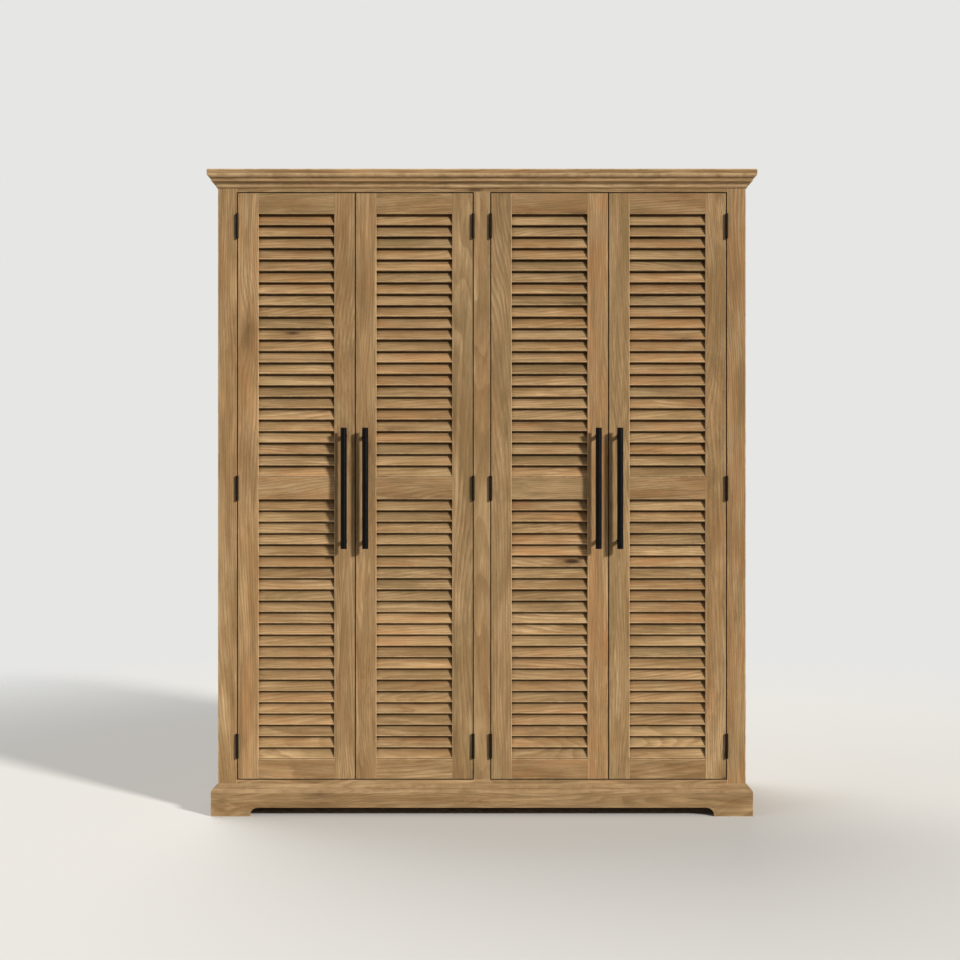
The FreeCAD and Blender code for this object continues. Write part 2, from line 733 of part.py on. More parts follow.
def screw_holes(body, plate_face, wide_first):
    """Three countersunk holes, wide at the face that looks into the gap."""
    radii = ("dim.leaf_sink_radius", "dim.leaf_hole_radius")
    if not wide_first:
        radii = radii[::-1]
    row = "lay.hinge_out + dim.leaf_depth / 2"
    offset = "dim.leaf_depth * dim.hole_offset_share"
    spacing = "dim.hinge_length * dim.hole_spacing_share"
    places = ((row + " - " + offset, "-" + spacing), (row + " + " + offset, "0"),
              (row + " - " + offset, spacing))
    for y, z in places:
        cone = body.newObject("PartDesign::SubtractiveCone", "screw_hole")
        cone.setExpression("Radius1", radii[0])
        cone.setExpression("Radius2", radii[1])
        cone.setExpression("Height", "dim.leaf_thick")
        cone.Placement = pointing("x")
        cone.setExpression("Placement.Base.x", plate_face)
        cone.setExpression("Placement.Base.y", y)
        cone.setExpression("Placement.Base.z", z)
    return body


def at_hinges(source, name):
    axis = ("lay.hinge_x", "lay.hinge_y")
    return group([placed(source, name + "_at", *axis, height) for height in hinge_heights], name)


def hinge_pin():
    body = new_body("hinge_pin")
    half = "dim.hinge_length / 2"
    corners = [
        ("0", "-(%s + dim.pin_head_height)" % half),
        ("dim.pin_head_radius", "-" + half),
        ("dim.pin_radius", "-" + half),
        ("dim.pin_radius", half),
        ("dim.pin_head_radius", half),
        ("0", "%s + dim.pin_head_height" % half),
    ]
    dome = "(dim.pin_head_radius ^ 2 + dim.pin_head_height ^ 2) / (2 * dim.pin_head_height)"
    profile = outline(body, "half_section", "XZ_Plane", corners, {0: (dome, 1), 4: (dome, 1)})
    turned = body.newObject("PartDesign::Revolution", "turned")
    turned.Profile = profile
    turned.ReferenceAxis = (profile, ["V_Axis"])
    return body


def hinges():
    door_count = "(dim.knuckle_count - 1) / 2"
    frame_count = "(dim.knuckle_count + 1) / 2"
    frame_x = ("-dim.leaf_gap / 2 - dim.leaf_thick", "dim.leaf_thick")
    door_x = ("dim.leaf_gap / 2", "dim.leaf_thick")
    frame_leaf = screw_holes(hinge_leaf("frame_leaf", frame_x, "0", frame_count), frame_x[0], False)
    door_leaf = screw_holes(hinge_leaf("door_leaf", door_x, "1", door_count), door_x[0], True)
    keep(all_four(at_hinges(frame_leaf, "first_frame_leaves"), "frame_hinge_leaves"), "frame_hinge_leaves")
    keep(all_four(at_hinges(hinge_pin(), "first_pins"), "hinge_pins"), "hinge_pins")
    return at_hinges(door_leaf, "door_hinge_leaves")


def magnetic_catches():
    body = new_body("catch")
    back_from_face = ("0", "dim.catch_depth")
    width = ("-dim.catch_width / 2", "dim.catch_width")
    block(body, "case", width, back_from_face, ("-dim.catch_height", "dim.catch_height"))
    ears = ("-dim.catch_width / 2 - dim.catch_ear", "dim.catch_width + 2 * dim.catch_ear")
    block(body, "ears", ears, back_from_face, ("-dim.catch_ear_thick", "dim.catch_ear_thick"))
    first = placed(body, "first_catch_at", "lay.handle_x", "lay.catch_y", "lay.ceiling_under")
    keep(all_four(group([first], "first_catch"), "magnetic_catches"), "magnetic_catches")


# The first door. Each of its pieces is mirrored to make the other three

door_rails = {
    "top_rail": ("lay.door_top - dim.door_top_rail", "dim.door_top_rail"),
    "mid_rail": ("lay.mid_rail_bottom", "dim.door_mid_rail"),
    "bottom_rail": ("lay.door_bottom", "dim.door_bottom_rail"),
}
louvre_panels = {
    "lower": ("lay.lower_bottom", "lay.lower_pitch"),
    "upper": ("lay.upper_bottom", "lay.upper_pitch"),
}
door_depth = ("lay.front", "dim.door_thick")
door_tenon = ("lay.front + (dim.door_thick - dim.tenon_thick) / 2", "dim.tenon_thick")


def slat_section(body, panel_bottom, x, spare="0"):
    """The lowest slat of a panel in section, its lower edge forward, with spare room all round for a slot."""
    near = "-" + spare if spare != "0" else "0"
    inner = "dim.slat_round"
    thick, wide = "dim.slat_thick", "dim.slat_width"
    corners = [
        (inner, near),
        (thick + " - " + inner, near),
        (thick + " + " + spare, inner),
        (thick + " + " + spare, wide + " - " + inner),
        (thick + " - " + inner, wide + " + " + spare),
        (inner, wide + " + " + spare),
        (near, wide + " - " + inner),
        (near, inner),
    ]
    bend = (inner + " + " + spare, 1)
    sketch = outline(body, "slat_section", "YZ_Plane", corners, {corner: bend for corner in (1, 3, 5, 7)})
    tilt = FreeCAD.Rotation(FreeCAD.Vector(0, 0, -1), value("dim.slat_tilt"))
    sketch.AttachmentOffset = FreeCAD.Placement(FreeCAD.Vector(), tilt)
    sketch.setExpression("AttachmentOffset.Rotation.Angle", "dim.slat_tilt")
    sketch.setExpression("AttachmentOffset.Base.x", "lay.slat_front")
    sketch.setExpression("AttachmentOffset.Base.y", panel_bottom + " + dim.slat_rail_gap + lay.slat_dip")
    sketch.setExpression("AttachmentOffset.Base.z", x)
    return sketch


def stile_joinery(body, slot_x, mortise_x):
    """Angled slots for the slats and mortises for the rails."""
    start, length = slot_x
    for bottom, pitch in louvre_panels.values():
        whole = body.Tip
        slot = body.newObject("PartDesign::Pocket", "slat_slot")
        slot.Profile = slat_section(body, bottom, start, "dim.slot_fit")
        slot.Reversed = True
        slot.setExpression("Length", length)
        doc.recompute()
        if not slot.Shape.Volume < whole.Shape.Volume:
            raise ValueError("the slot for the slats cuts nothing")
        repeat(body, [slot], "z", "dim.slats_in_panel", pitch)
    for span in door_rails.values():
        block(body, "mortise", mortise_x, door_tenon, shouldered(span), cut=True)


def hinge_stile():
    body = new_body("hinge_stile")
    width = ("lay.door_left", "dim.door_stile_width")
    board = block(body, "board", width, door_depth, ("lay.door_bottom", "lay.door_height"))
    round_edges(body, board, "dim.arris", "z")
    slot_x = ("lay.panel_left - dim.slat_housing", "dim.slat_housing + dim.overrun")
    mortise_x = ("lay.panel_left - dim.tenon_length", "dim.tenon_length + dim.overrun")
    stile_joinery(body, slot_x, mortise_x)
    hinge_recesses(body, ("lay.door_left - dim.overrun", "lay.leaf_sink + dim.overrun"))
    return body


def meeting_stile():
    """Its free edge is bevelled a little to the back, so that two doors of a pair clear each other."""
    body = new_body("meeting_stile")
    corners = [
        ("lay.panel_right", "lay.front"),
        ("lay.door_right", "lay.front"),
        ("lay.door_right - dim.lead_bevel", "lay.door_back"),
        ("lay.panel_right", "lay.door_back"),
    ]
    profile = outline(body, "section", "XY_Plane", corners)
    profile.setExpression("AttachmentOffset.Base.z", "lay.door_bottom")
    board = pad(body, profile, "lay.door_height")
    round_edges(body, board, "dim.arris", "z")
    slot_x = ("lay.panel_right - dim.overrun", "dim.slat_housing + dim.overrun")
    mortise_x = ("lay.panel_right - dim.overrun", "dim.tenon_length + dim.overrun")
    stile_joinery(body, slot_x, mortise_x)
    for z in post_heights:
        start = ("lay.handle_x", "lay.front - dim.overrun", z)
        length = "dim.door_thick + 2 * dim.overrun"
        rod(body, "screw_hole", "dim.screw_radius + dim.screw_play", length, start, "y", cut=True)
    return body


def door_rail(name, span):
    body = new_body(name)
    board = block(body, "board", ("lay.panel_left", "lay.panel_width"), door_depth, span)
    round_edges(body, board, "dim.arris", "x")
    length = ("lay.panel_left - dim.tenon_length", "lay.panel_width + 2 * dim.tenon_length")
    block(body, "tenons", length, door_tenon, shouldered(span))
    return body


def louvres():
    """Fixed slats, housed into both stiles."""
    panels = []
    for name, (bottom, pitch) in louvre_panels.items():
        body = new_body(name + "_slats")
        profile = slat_section(body, bottom, "lay.panel_left - dim.slat_housing")
        slat = pad(body, profile, "lay.panel_width + 2 * dim.slat_housing")
        repeat(body, [slat], "z", "dim.slats_in_panel", pitch)
        panels.append(body)
    return group(panels, "louvres")


post_heights = ("dim.mid_height - dim.post_spacing / 2", "dim.mid_height + dim.post_spacing / 2")


def handle():
    """A round bar on two posts, each drilled for a screw that comes through the stile."""
    body = new_body("handle")
    bar_y = "lay.front - lay.bar_out"
    low = "dim.mid_height - dim.handle_length / 2"
    bar = rod(body, "bar", "dim.handle_radius", "dim.handle_length", ("lay.handle_x", bar_y, low))
    bevel = body.newObject("PartDesign::Chamfer", "end_bevels")
    bevel.Base = (bar, rims(bar))
    bevel.setExpression("Size", "dim.handle_bevel")
    for z in post_heights:
        rod(body, "post", "dim.post_radius", "lay.bar_out", ("lay.handle_x", bar_y, z), "y")
    for z in post_heights:
        start = ("lay.handle_x", "lay.front - dim.screw_bite - dim.screw_radius", z)
        length = "dim.screw_bite + dim.screw_radius + dim.overrun"
        rod(body, "screw_bore", "dim.screw_radius + dim.screw_fit", length, start, "y", cut=True)
    return body


def fastenings():
    """The handle's two screws, and the steel plate that the magnetic catch holds."""
    screw = new_body("handle_screw")
    length = "dim.screw_bite + dim.door_thick"
    rod(screw, "shank", "dim.screw_radius", length, ("0", "-dim.screw_bite", "0"), "y")
    back = ("0", "dim.door_thick", "0")
    head = rod(screw, "head", "dim.screw_head_radius", "dim.screw_head_height", back, "y")
    crown = screw.newObject("PartDesign::Fillet", "crown")
    crown.Base = (head, rims(head, "dim.door_thick + dim.screw_head_height"))
    crown.setExpression("Radius", "dim.screw_head_height / 2")
    screws = [placed(screw, "handle_screw_at", "lay.handle_x", "lay.front", z) for z in post_heights]
    strike = new_body("strike")
    width = ("lay.handle_x - dim.strike_width / 2", "dim.strike_width")
    plate = block(strike, "plate", width, ("lay.door_back", "dim.strike_thick"),
                  ("lay.ceiling_under - dim.catch_height", "dim.catch_height"))
    round_edges(strike, plate, "dim.strike_round", "y")
    return group(screws + [strike], "fastenings")


def doors(door_leaves):
    first = {
        "hinge_stile": hinge_stile(),
        "meeting_stile": meeting_stile(),
        "louvres": louvres(),
        "handle": handle(),
        "hinge_leaves": door_leaves,
        "fastenings": fastenings(),
    }
    for name, span in door_rails.items():
        first[name] = door_rail(name, span)
    for name, piece in first.items():
        keep(piece, "door_1_" + name)
        second = keep(mirrored(piece, "lay.pair_centre", "second_" + name), "door_2_" + name)
        keep(mirrored(second, "0", "third_" + name), "door_3_" + name)
        keep(mirrored(piece, "0", "fourth_" + name), "door_4_" + name)


keep(mirrored(left_side(), "0", "right_side"), "right_side")
centre_partition()
centre_bearer()
floor_housing = ("lay.floor_top - dim.partition_housing", "dim.partition_housing + dim.overrun")
ceiling_housing = ("lay.ceiling_under - dim.overrun", "dim.partition_housing + dim.overrun")
housed_board("floor_panel", "lay.floor_under", floor_housing)
housed_board("ceiling_panel", "lay.ceiling_under", ceiling_housing)
top_board()
hat_shelves()
back_panels()
wall_rails()
keep(mirrored(left_stile(), "0", "right_stile"), "right_stile")
centre_stile()
frame_rail("head_rail", head_rail_height, "lay.head_bottom", "lay.head_bottom")
frame_rail("sill_rail", sill_rail_height, "lay.sill_top", "lay.sill_top - dim.tenon_length / 2")
cornice()
plinth()
hanging_rails()
rail_sockets()
magnetic_catches()
doors(hinges())
doc.recompute()

for thing in doc.Objects:
    if "Invalid" in thing.State or "Error" in thing.State:
        raise ValueError("%s failed: %s" % (thing.Label, thing.State))
for label, piece in nodes.items():
    if piece.Shape.isNull() or not piece.Shape.isValid():
        raise ValueError(label + " has no valid shape")

os.makedirs("parts", exist_ok=True)
for label, piece in nodes.items():
    piece.Shape.exportStep("parts/%s.step" % label)
print("%d sub-parts written" % len(nodes))
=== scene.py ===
import math
import random

import bmesh
import bpy
from mathutils import Matrix, Vector


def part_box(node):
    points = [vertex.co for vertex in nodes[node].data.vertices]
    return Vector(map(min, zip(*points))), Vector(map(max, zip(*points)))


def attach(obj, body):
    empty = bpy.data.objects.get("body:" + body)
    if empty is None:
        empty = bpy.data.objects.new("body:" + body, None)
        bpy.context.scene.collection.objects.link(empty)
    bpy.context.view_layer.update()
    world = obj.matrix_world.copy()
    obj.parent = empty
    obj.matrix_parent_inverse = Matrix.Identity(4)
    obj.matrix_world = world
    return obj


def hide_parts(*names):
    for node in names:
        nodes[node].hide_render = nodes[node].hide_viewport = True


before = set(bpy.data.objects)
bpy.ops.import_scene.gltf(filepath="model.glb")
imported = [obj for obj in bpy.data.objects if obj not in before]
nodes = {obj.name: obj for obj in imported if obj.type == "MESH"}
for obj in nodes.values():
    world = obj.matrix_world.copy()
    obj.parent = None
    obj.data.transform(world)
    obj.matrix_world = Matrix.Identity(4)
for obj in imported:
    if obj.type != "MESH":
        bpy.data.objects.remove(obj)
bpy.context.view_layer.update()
print("frame loaded:", len(nodes), "nodes")


# Helpers for node trees

def newMaterial(name):
    material = bpy.data.materials.new(name)
    material.use_nodes = True
    tree = material.node_tree
    tree.nodes.clear()
    output = tree.nodes.new("ShaderNodeOutputMaterial")
    shader = tree.nodes.new("ShaderNodeBsdfPrincipled")
    tree.links.new(shader.outputs["BSDF"], output.inputs["Surface"])
    return material, tree, shader


def add(tree, kind, inputs=None, **settings):
    node = tree.nodes.new("ShaderNode" + kind)
    for key, setting in settings.items():
        setattr(node, key, setting)
    for key, given in (inputs or {}).items():
        socket = node.inputs[key]
        if isinstance(given, bpy.types.NodeSocket):
            tree.links.new(given, socket)
        else:
            socket.default_value = given
    return node


def maths(tree, operation, first, second=0.0, third=0.0):
    return add(tree, "Math", {0: first, 1: second, 2: third}, operation=operation).outputs[0]


def vectorMaths(tree, operation, first, second=(0.0, 0.0, 0.0), third=(0.0, 0.0, 0.0)):
    return add(tree, "VectorMath", {0: first, 1: second, 2: third}, operation=operation).outputs[0]


def remap(tree, given, low, high, newLow=0.0, newHigh=1.0, smooth=False):
    inputs = {"Value": given, "From Min": low, "From Max": high, "To Min": newLow, "To Max": newHigh}
    kind = "SMOOTHSTEP" if smooth else "LINEAR"
    return add(tree, "MapRange", inputs, interpolation_type=kind).outputs["Result"]


def blend(tree, factor, first, second, mode="MIX"):
    node = add(tree, "Mix", data_type="RGBA", blend_type=mode)
    for socket, given in zip((node.inputs[0], node.inputs[6], node.inputs[7]), (factor, first, second)):
        if isinstance(given, bpy.types.NodeSocket):
            tree.links.new(given, socket)
        else:
            socket.default_value = given
    return node.outputs[2]


def stretched(tree, place, along):
    return vectorMaths(tree, "MULTIPLY", place, (1.0, 1.0, along))


def noise(tree, place, scale, detail=2.0, roughness=0.5, output=0):
    inputs = {"Vector": place, "Scale": scale, "Detail": detail, "Roughness": roughness}
    return add(tree, "TexNoise", inputs).outputs[output]


def attribute(tree, name, output="Fac"):
    return add(tree, "Attribute", attribute_name=name).outputs[output]


def bump(tree, shader, height, strength, distance):
    node = add(tree, "Bump", {"Height": height, "Strength": strength, "Distance": distance})
    tree.links.new(node.outputs["Normal"], shader.inputs["Normal"])


# A colour as a paint chart gives it, 0 to 255, made linear for the shader
def tone(red, green, blue):
    parts = [channel / 255 for channel in (red, green, blue)]
    return tuple(c / 12.92 if c <= 0.04045 else ((c + 0.055) / 1.055) ** 2.4 for c in parts) + (1.0,)


# Finishes

wood = {
    "pale": tone(191, 160, 118),
    "mid": tone(154, 124, 85),
    "late": tone(110, 82, 51),  # the dark part of each year's growth
    "warm": tone(176, 122, 76),
    "olive": tone(130, 112, 74),
    "streak": tone(82, 58, 36),
    "knot": tone(58, 38, 24),
    "worn": tone(212, 180, 138),
    "ringsPerMetre": 135.0,
    "lean": 0.03,
    "knots": (8.0, 8.0, 2.3),  # how closely they lie, across and along the grain
    "wearReach": 0.0042,
    "seam": 0.34,  # brightness of the painted shade on the narrow sides of a door and in the seams round it
    "stave": 0.0913,  # width of the strips that a side or a shelf is glued from
    "recess": 0.28,  # brightness of a slat at its deep edge, with painted shade and some dirt
    "housed": 0.008,  # length of a slat's end that is inside the stile
    # the reach of the painted corner shade past the housed end of a slat
    "cornerReach": 0.013,
    "arris": 0.27,  # share of the wear that shows along an arris
    "specular": 0.13,
    "rough": (0.7, 0.84),
    "bump": (0.4, 0.0005),
    "joint": 0.0004,  # half the width of a glued joint between staves
}


# How near a point is to the arris of its board: 1 on the edge, 0 further in
def arrisWear(tree, place):
    fromLow = vectorMaths(tree, "SUBTRACT", place, attribute(tree, "boardLow", "Vector"))
    fromHigh = vectorMaths(tree, "SUBTRACT", attribute(tree, "boardHigh", "Vector"), place)
    near = add(tree, "SeparateXYZ", {0: vectorMaths(tree, "MINIMUM", fromLow, fromHigh)}).outputs
    smaller = maths(tree, "MINIMUM", near["X"], near["Y"])
    larger = maths(tree, "MAXIMUM", near["X"], near["Y"])
    second = maths(tree, "MAXIMUM", smaller, maths(tree, "MINIMUM", larger, near["Z"]))
    ragged = noise(tree, place, 55.0, 4.0, 0.65)
    reach = remap(tree, ragged, 0.36, 0.66, 0.0008, wood["wearReach"])
    return remap(tree, maths(tree, "DIVIDE", second, reach), 0.35, 1.0, 1.0, 0.0, smooth=True)


seams = {
    "reach": 0.0026,  # half the width of the painted shade line
    "core": 0.7,  # the share of it that is darkest
}


# 1 near the seams round the doors, where painted shade darkens frame and doors. The left half mirrors the
# right
def seamShadeLines(tree, place):
    inner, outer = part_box("door_3_hinge_stile"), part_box("door_4_hinge_stile")
    left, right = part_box("door_3_meeting_stile")[1].x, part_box("door_4_meeting_stile")[0].x
    half = (right - left) / 2
    across = (inner[0].x - half, left + half, outer[1].x + half)
    heights = (inner[0].z - half, inner[1].z + half)
    parts = add(tree, "SeparateXYZ", {0: place}).outputs
    x, z = maths(tree, "ABSOLUTE", parts["X"]), parts["Z"]
    lines = []
    upright, level = (x, across, z, heights), (z, heights, x, (across[0], across[-1]))
    for along, places, other, ends in (upright, level):
        nearest = None
        for spot in places:
            away = maths(tree, "ABSOLUTE", maths(tree, "SUBTRACT", along, spot))
            nearest = maths(tree, "MINIMUM", nearest, away) if nearest else away
        line = remap(tree, nearest, seams["reach"] * seams["core"], seams["reach"], 1.0, 0.0)
        above = maths(tree, "GREATER_THAN", other, ends[0] - half)
        below = maths(tree, "LESS_THAN", other, ends[1] + half)
        lines.append(maths(tree, "MULTIPLY", line, maths(tree, "MULTIPLY", above, below)))
    return maths(tree, "MAXIMUM", *lines)


# A few knots: how far each one pushes the grain aside, its dark core and the halo round it
def knots(tree, board):
    spots = vectorMaths(tree, "MULTIPLY", board, wood["knots"])
    away = add(tree, "TexVoronoi", {"Vector": spots, "Scale": 1.0, "Randomness": 1.0}).outputs["Distance"]
    push = remap(tree, away, 0.05, 0.42, 0.012, 0.0, smooth=True)
    core = remap(tree, away, 0.03, 0.085, 1.0, 0.0, smooth=True)
    halo = remap(tree, away, 0.06, 0.24, 0.55, 0.0, smooth=True)
    return push, core, halo


# A board's own coordinates, bent by slow and quick waves
def bentGrain(tree, board):
    slow = noise(tree, stretched(tree, board, 0.2), 4.2, 1.5, output="Color")
    quick = noise(tree, stretched(tree, board, 0.14), 30.0, 2.5, output="Color")
    bend = vectorMaths(tree, "SUBTRACT", slow, (0.5, 0.5, 0.5))
    wobble = vectorMaths(tree, "SUBTRACT", quick, (0.5, 0.5, 0.5))
    bent = vectorMaths(tree, "MULTIPLY_ADD", bend, (0.17, 0.17, 0.0), board)
    return vectorMaths(tree, "MULTIPLY_ADD", wobble, (0.010, 0.010, 0.0), bent)


# Growth rings round a far, slightly leaning heart, from 0 in the pale wood to 1 in the dark
def growthRings(tree, bent, turned, knotPush):
    split = add(tree, "SeparateXYZ", {0: bent}).outputs
    lean = maths(tree, "MULTIPLY", add(tree, "SeparateXYZ", {0: turned}).outputs["Z"], wood["lean"])
    fromHeart = {0: maths(tree, "ADD", split["X"], lean), 1: maths(tree, "SUBTRACT", split["Y"], lean)}
    heart = add(tree, "CombineXYZ", fromHeart).outputs[0]
    radius = add(tree, "VectorMath", {0: heart}, operation="LENGTH").outputs["Value"]
    radius = maths(tree, "ADD", radius, knotPush)
    year = maths(tree, "FRACT", maths(tree, "MULTIPLY", radius, wood["ringsPerMetre"]))
    rising = remap(tree, year, 0.12, 0.93, smooth=True)
    return maths(tree, "MULTIPLY", rising, remap(tree, year, 0.93, 1.0, 1.0, 0.0, smooth=True))


# 1 in the thin glued joints between the staves of a panel
def staveJoints(tree, across, stave):
    inStave = maths(tree, "FRACT", maths(tree, "DIVIDE", across, stave))
    fromMiddle = maths(tree, "ABSOLUTE", maths(tree, "SUBTRACT", inStave, 0.5))
    return remap(tree, fromMiddle, 0.5 - wood["joint"] / stave, 0.5)


# Painted shade, with some dirt, darkens a slat towards its deep edge and in the corners at its ends
def slatShadeAndDust(tree, parts, patch):
    near, far = attribute(tree, "boardLow", "Vector"), attribute(tree, "boardHigh", "Vector")
    low, high = (add(tree, "SeparateXYZ", {0: end}).outputs for end in (near, far))
    depth = remap(tree, parts["Y"], low["Y"], high["Y"])
    uneven = maths(tree, "ADD", depth, remap(tree, patch, 0.3, 0.7, -0.06, 0.06))
    deepShadeAndDust = remap(tree, uneven, 0.25, 0.9, 1.0, wood["recess"], smooth=True)
    fromLeft = maths(tree, "SUBTRACT", parts["X"], low["X"])
    fromRight = maths(tree, "SUBTRACT", high["X"], parts["X"])
    fromEnd = maths(tree, "MINIMUM", fromLeft, fromRight)
    housed, reached = wood["housed"], wood["housed"] + wood["cornerReach"]
    corner = remap(tree, fromEnd, housed, reached, 1.0, 0.0, smooth=True)
    shadeAndGrime = maths(tree, "MULTIPLY", corner, remap(tree, depth, 0.15, 0.7, 0.14, 0.42))
    return maths(tree, "MULTIPLY", deepShadeAndDust, maths(tree, "SUBTRACT", 1.0, shadeAndGrime))


# How far the finish is rubbed through: on roundings and arrises, but not in the seams
def wornPlaces(tree, place, inSeamShade, rubbed):
    ragged = remap(tree, noise(tree, place, 24.0, 4.0, 0.7), 0.36, 0.62, 0.2 * rubbed, 0.7 * rubbed)
    rub = maths(tree, "MULTIPLY", attribute(tree, "edgeWear"), ragged)
    rub = maths(tree, "MAXIMUM", rub, maths(tree, "MULTIPLY", arrisWear(tree, place), wood["arris"]))
    return maths(tree, "MULTIPLY", rub, maths(tree, "SUBTRACT", 1.0, inSeamShade))


# Wood with its grain along one axis. Boards differ by their attributes, and glued-up panels by stave too
def woodFinish(name, along, stave=None, light=0.93, spread=0.09, streaks=0.5, figure=1.0,
               recess=False, rubbed=1.0, seamShaded=False):
    material, tree, shader = newMaterial(name)
    place = add(tree, "TexCoord").outputs["Object"]
    parts = add(tree, "SeparateXYZ", {0: place}).outputs
    order = {"Z": "XYZ", "X": "YZX", "Y": "ZXY"}[along]
    turned = add(tree, "CombineXYZ", {i: parts[axis] for i, axis in enumerate(order)}).outputs[0]
    number = attribute(tree, "boardNumber")
    character = attribute(tree, "boardWarmth")
    if stave:
        row = maths(tree, "FLOOR", maths(tree, "DIVIDE", parts["Y"], stave))
        number = maths(tree, "ADD", number, maths(tree, "MULTIPLY", row, 7.31))
    luck = add(tree, "TexWhiteNoise", {"W": number}, noise_dimensions="1D").outputs
    other = add(tree, "TexWhiteNoise", {"W": maths(tree, "ADD", number, 91.7)}, noise_dimensions="1D").outputs
    if stave:
        character = remap(tree, other["Value"], 0.0, 1.0, -0.6, 0.6)
    shift = vectorMaths(tree, "MULTIPLY_ADD", luck["Color"], (0.3, 0.3, 9.0), (-0.15, -0.15, 0.0))
    board = vectorMaths(tree, "ADD", turned, shift)
    knotPush, knotCore, knotHalo = knots(tree, board)
    bent = bentGrain(tree, board)
    ring = growthRings(tree, bent, turned, knotPush)

    # fibres, pores, veins and slow changes of colour
    fibre = noise(tree, stretched(tree, bent, 0.02), 560.0, 3.0, 0.62)
    strand = noise(tree, stretched(tree, bent, 0.035), 150.0, 3.0, 0.6)
    band = noise(tree, stretched(tree, bent, 0.05), 62.0, 3.0, 0.6)
    speck = noise(tree, stretched(tree, board, 0.06), 1300.0, 1.0)
    pore = maths(tree, "MULTIPLY", remap(tree, speck, 0.6, 0.72), remap(tree, ring, 0.0, 0.7, 0.35, 1.0))
    cloud = noise(tree, stretched(tree, bent, 0.24), 12.0, 3.5, 0.64)
    patch = noise(tree, stretched(tree, board, 0.2), 24.0, 4.0, 0.66)
    elsewhere = vectorMaths(tree, "ADD", board, (3.1, 5.7, 1.3))
    grey = noise(tree, stretched(tree, elsewhere, 0.22), 21.0, 4.0, 0.66)
    vein = noise(tree, stretched(tree, bent, 0.06), 40.0, 4.0, 0.7)

    # what each of them adds to the colour
    colour = blend(tree, remap(tree, cloud, 0.38, 0.62, smooth=True), wood["mid"], wood["pale"])
    colour = blend(tree, maths(tree, "MULTIPLY", ring, 0.44 * figure), colour, wood["late"])
    warmBoard = remap(tree, character, -0.6, 1.0, 0.08, 1.0)
    oliveBoard = remap(tree, character, -1.0, 0.6, 1.0, 0.08)
    warmth = maths(tree, "MULTIPLY", remap(tree, patch, 0.4, 0.62, 0.0, 0.52, smooth=True), warmBoard)
    colour = blend(tree, warmth, colour, wood["warm"])
    greyness = maths(tree, "MULTIPLY", remap(tree, grey, 0.42, 0.64, 0.0, 0.6, smooth=True), oliveBoard)
    colour = blend(tree, greyness, colour, wood["olive"])
    lucky = maths(tree, "FRACT", maths(tree, "MULTIPLY", luck["Value"], 17.0))
    veined = remap(tree, lucky, 0.3, 1.0, 0.2, 1.0)
    veins = maths(tree, "MULTIPLY", remap(tree, vein, 0.54, 0.72, smooth=True), veined)
    colour = blend(tree, maths(tree, "MULTIPLY", veins, streaks), colour, wood["streak"])
    colour = blend(tree, remap(tree, strand, 0.34, 0.66, 0.0, 0.42), colour, wood["late"])
    colour = blend(tree, knotHalo, colour, wood["late"])
    colour = blend(tree, knotCore, colour, wood["knot"])

    # light and shade: fibres, the board, pores, glued joints, painted shade with dirt on the slats, and
    # painted shade in the seams
    fineShade = remap(tree, fibre, 0.25, 0.75, 1.17, 0.85)
    shade = maths(tree, "MULTIPLY", fineShade, remap(tree, band, 0.3, 0.7, 1.15, 0.87))
    boardShade = remap(tree, other["Value"], 0.0, 1.0, light * (1 + spread), light * (1 - spread))
    shade = maths(tree, "MULTIPLY", shade, boardShade)
    shade = maths(tree, "MULTIPLY", shade, remap(tree, pore, 0.0, 1.0, 1.0, 0.74))
    if stave:
        joint = staveJoints(tree, parts["Y"], stave)
        shade = maths(tree, "MULTIPLY", shade, remap(tree, joint, 0.0, 1.0, 1.0, 0.72))
    # painted shade with some dirt, deep in the slats and in their corners by the stiles
    if recess:
        shade = maths(tree, "MULTIPLY", shade, slatShadeAndDust(tree, parts, patch))
    # painted shade in the seams round the doors, on their narrow sides and on the frame beside them
    inSeamShade = attribute(tree, "paintedSeamShade")
    if seamShaded:
        inSeamShade = maths(tree, "MAXIMUM", inSeamShade, seamShadeLines(tree, place))
    shade = maths(tree, "MULTIPLY", shade, remap(tree, inSeamShade, 0.0, 1.0, 1.0, wood["seam"]))
    shadeColour = add(tree, "CombineColor", {0: shade, 1: shade, 2: shade}).outputs[0]
    colour = blend(tree, 1.0, colour, shadeColour, "MULTIPLY")
    rub = wornPlaces(tree, place, inSeamShade, rubbed)
    colour = blend(tree, rub, colour, wood["worn"])
    tree.links.new(colour, shader.inputs["Base Color"])

    satin = remap(tree, strand, 0.3, 0.7, *wood["rough"])
    satin = maths(tree, "SUBTRACT", satin, maths(tree, "MULTIPLY", rub, 0.1))
    tree.links.new(maths(tree, "ADD", satin, maths(tree, "MULTIPLY", pore, 0.15)), shader.inputs["Roughness"])
    shader.inputs["Specular IOR Level"].default_value = wood["specular"]
    height = maths(tree, "ADD", maths(tree, "MULTIPLY", fibre, 0.5), maths(tree, "MULTIPLY", ring, 0.35))
    height = maths(tree, "SUBTRACT", height, maths(tree, "MULTIPLY", pore, 0.9))
    height = maths(tree, "SUBTRACT", height, maths(tree, "MULTIPLY", knotCore, 1.2))
    if stave:
        height = maths(tree, "SUBTRACT", height, maths(tree, "MULTIPLY", joint, 0.8))
    bump(tree, shader, height, *wood["bump"])
    return material


metal = {
    "bar": {"black": tone(4, 3, 3), "rubbed": tone(46, 40, 34), "rough": (0.27, 0.36), "specular": 0.17},
    "hinge": {"black": tone(21, 16, 9), "rubbed": tone(58, 48, 36), "rough": (0.38, 0.52), "specular": 0.13},
    "grain": 1900.0,
}


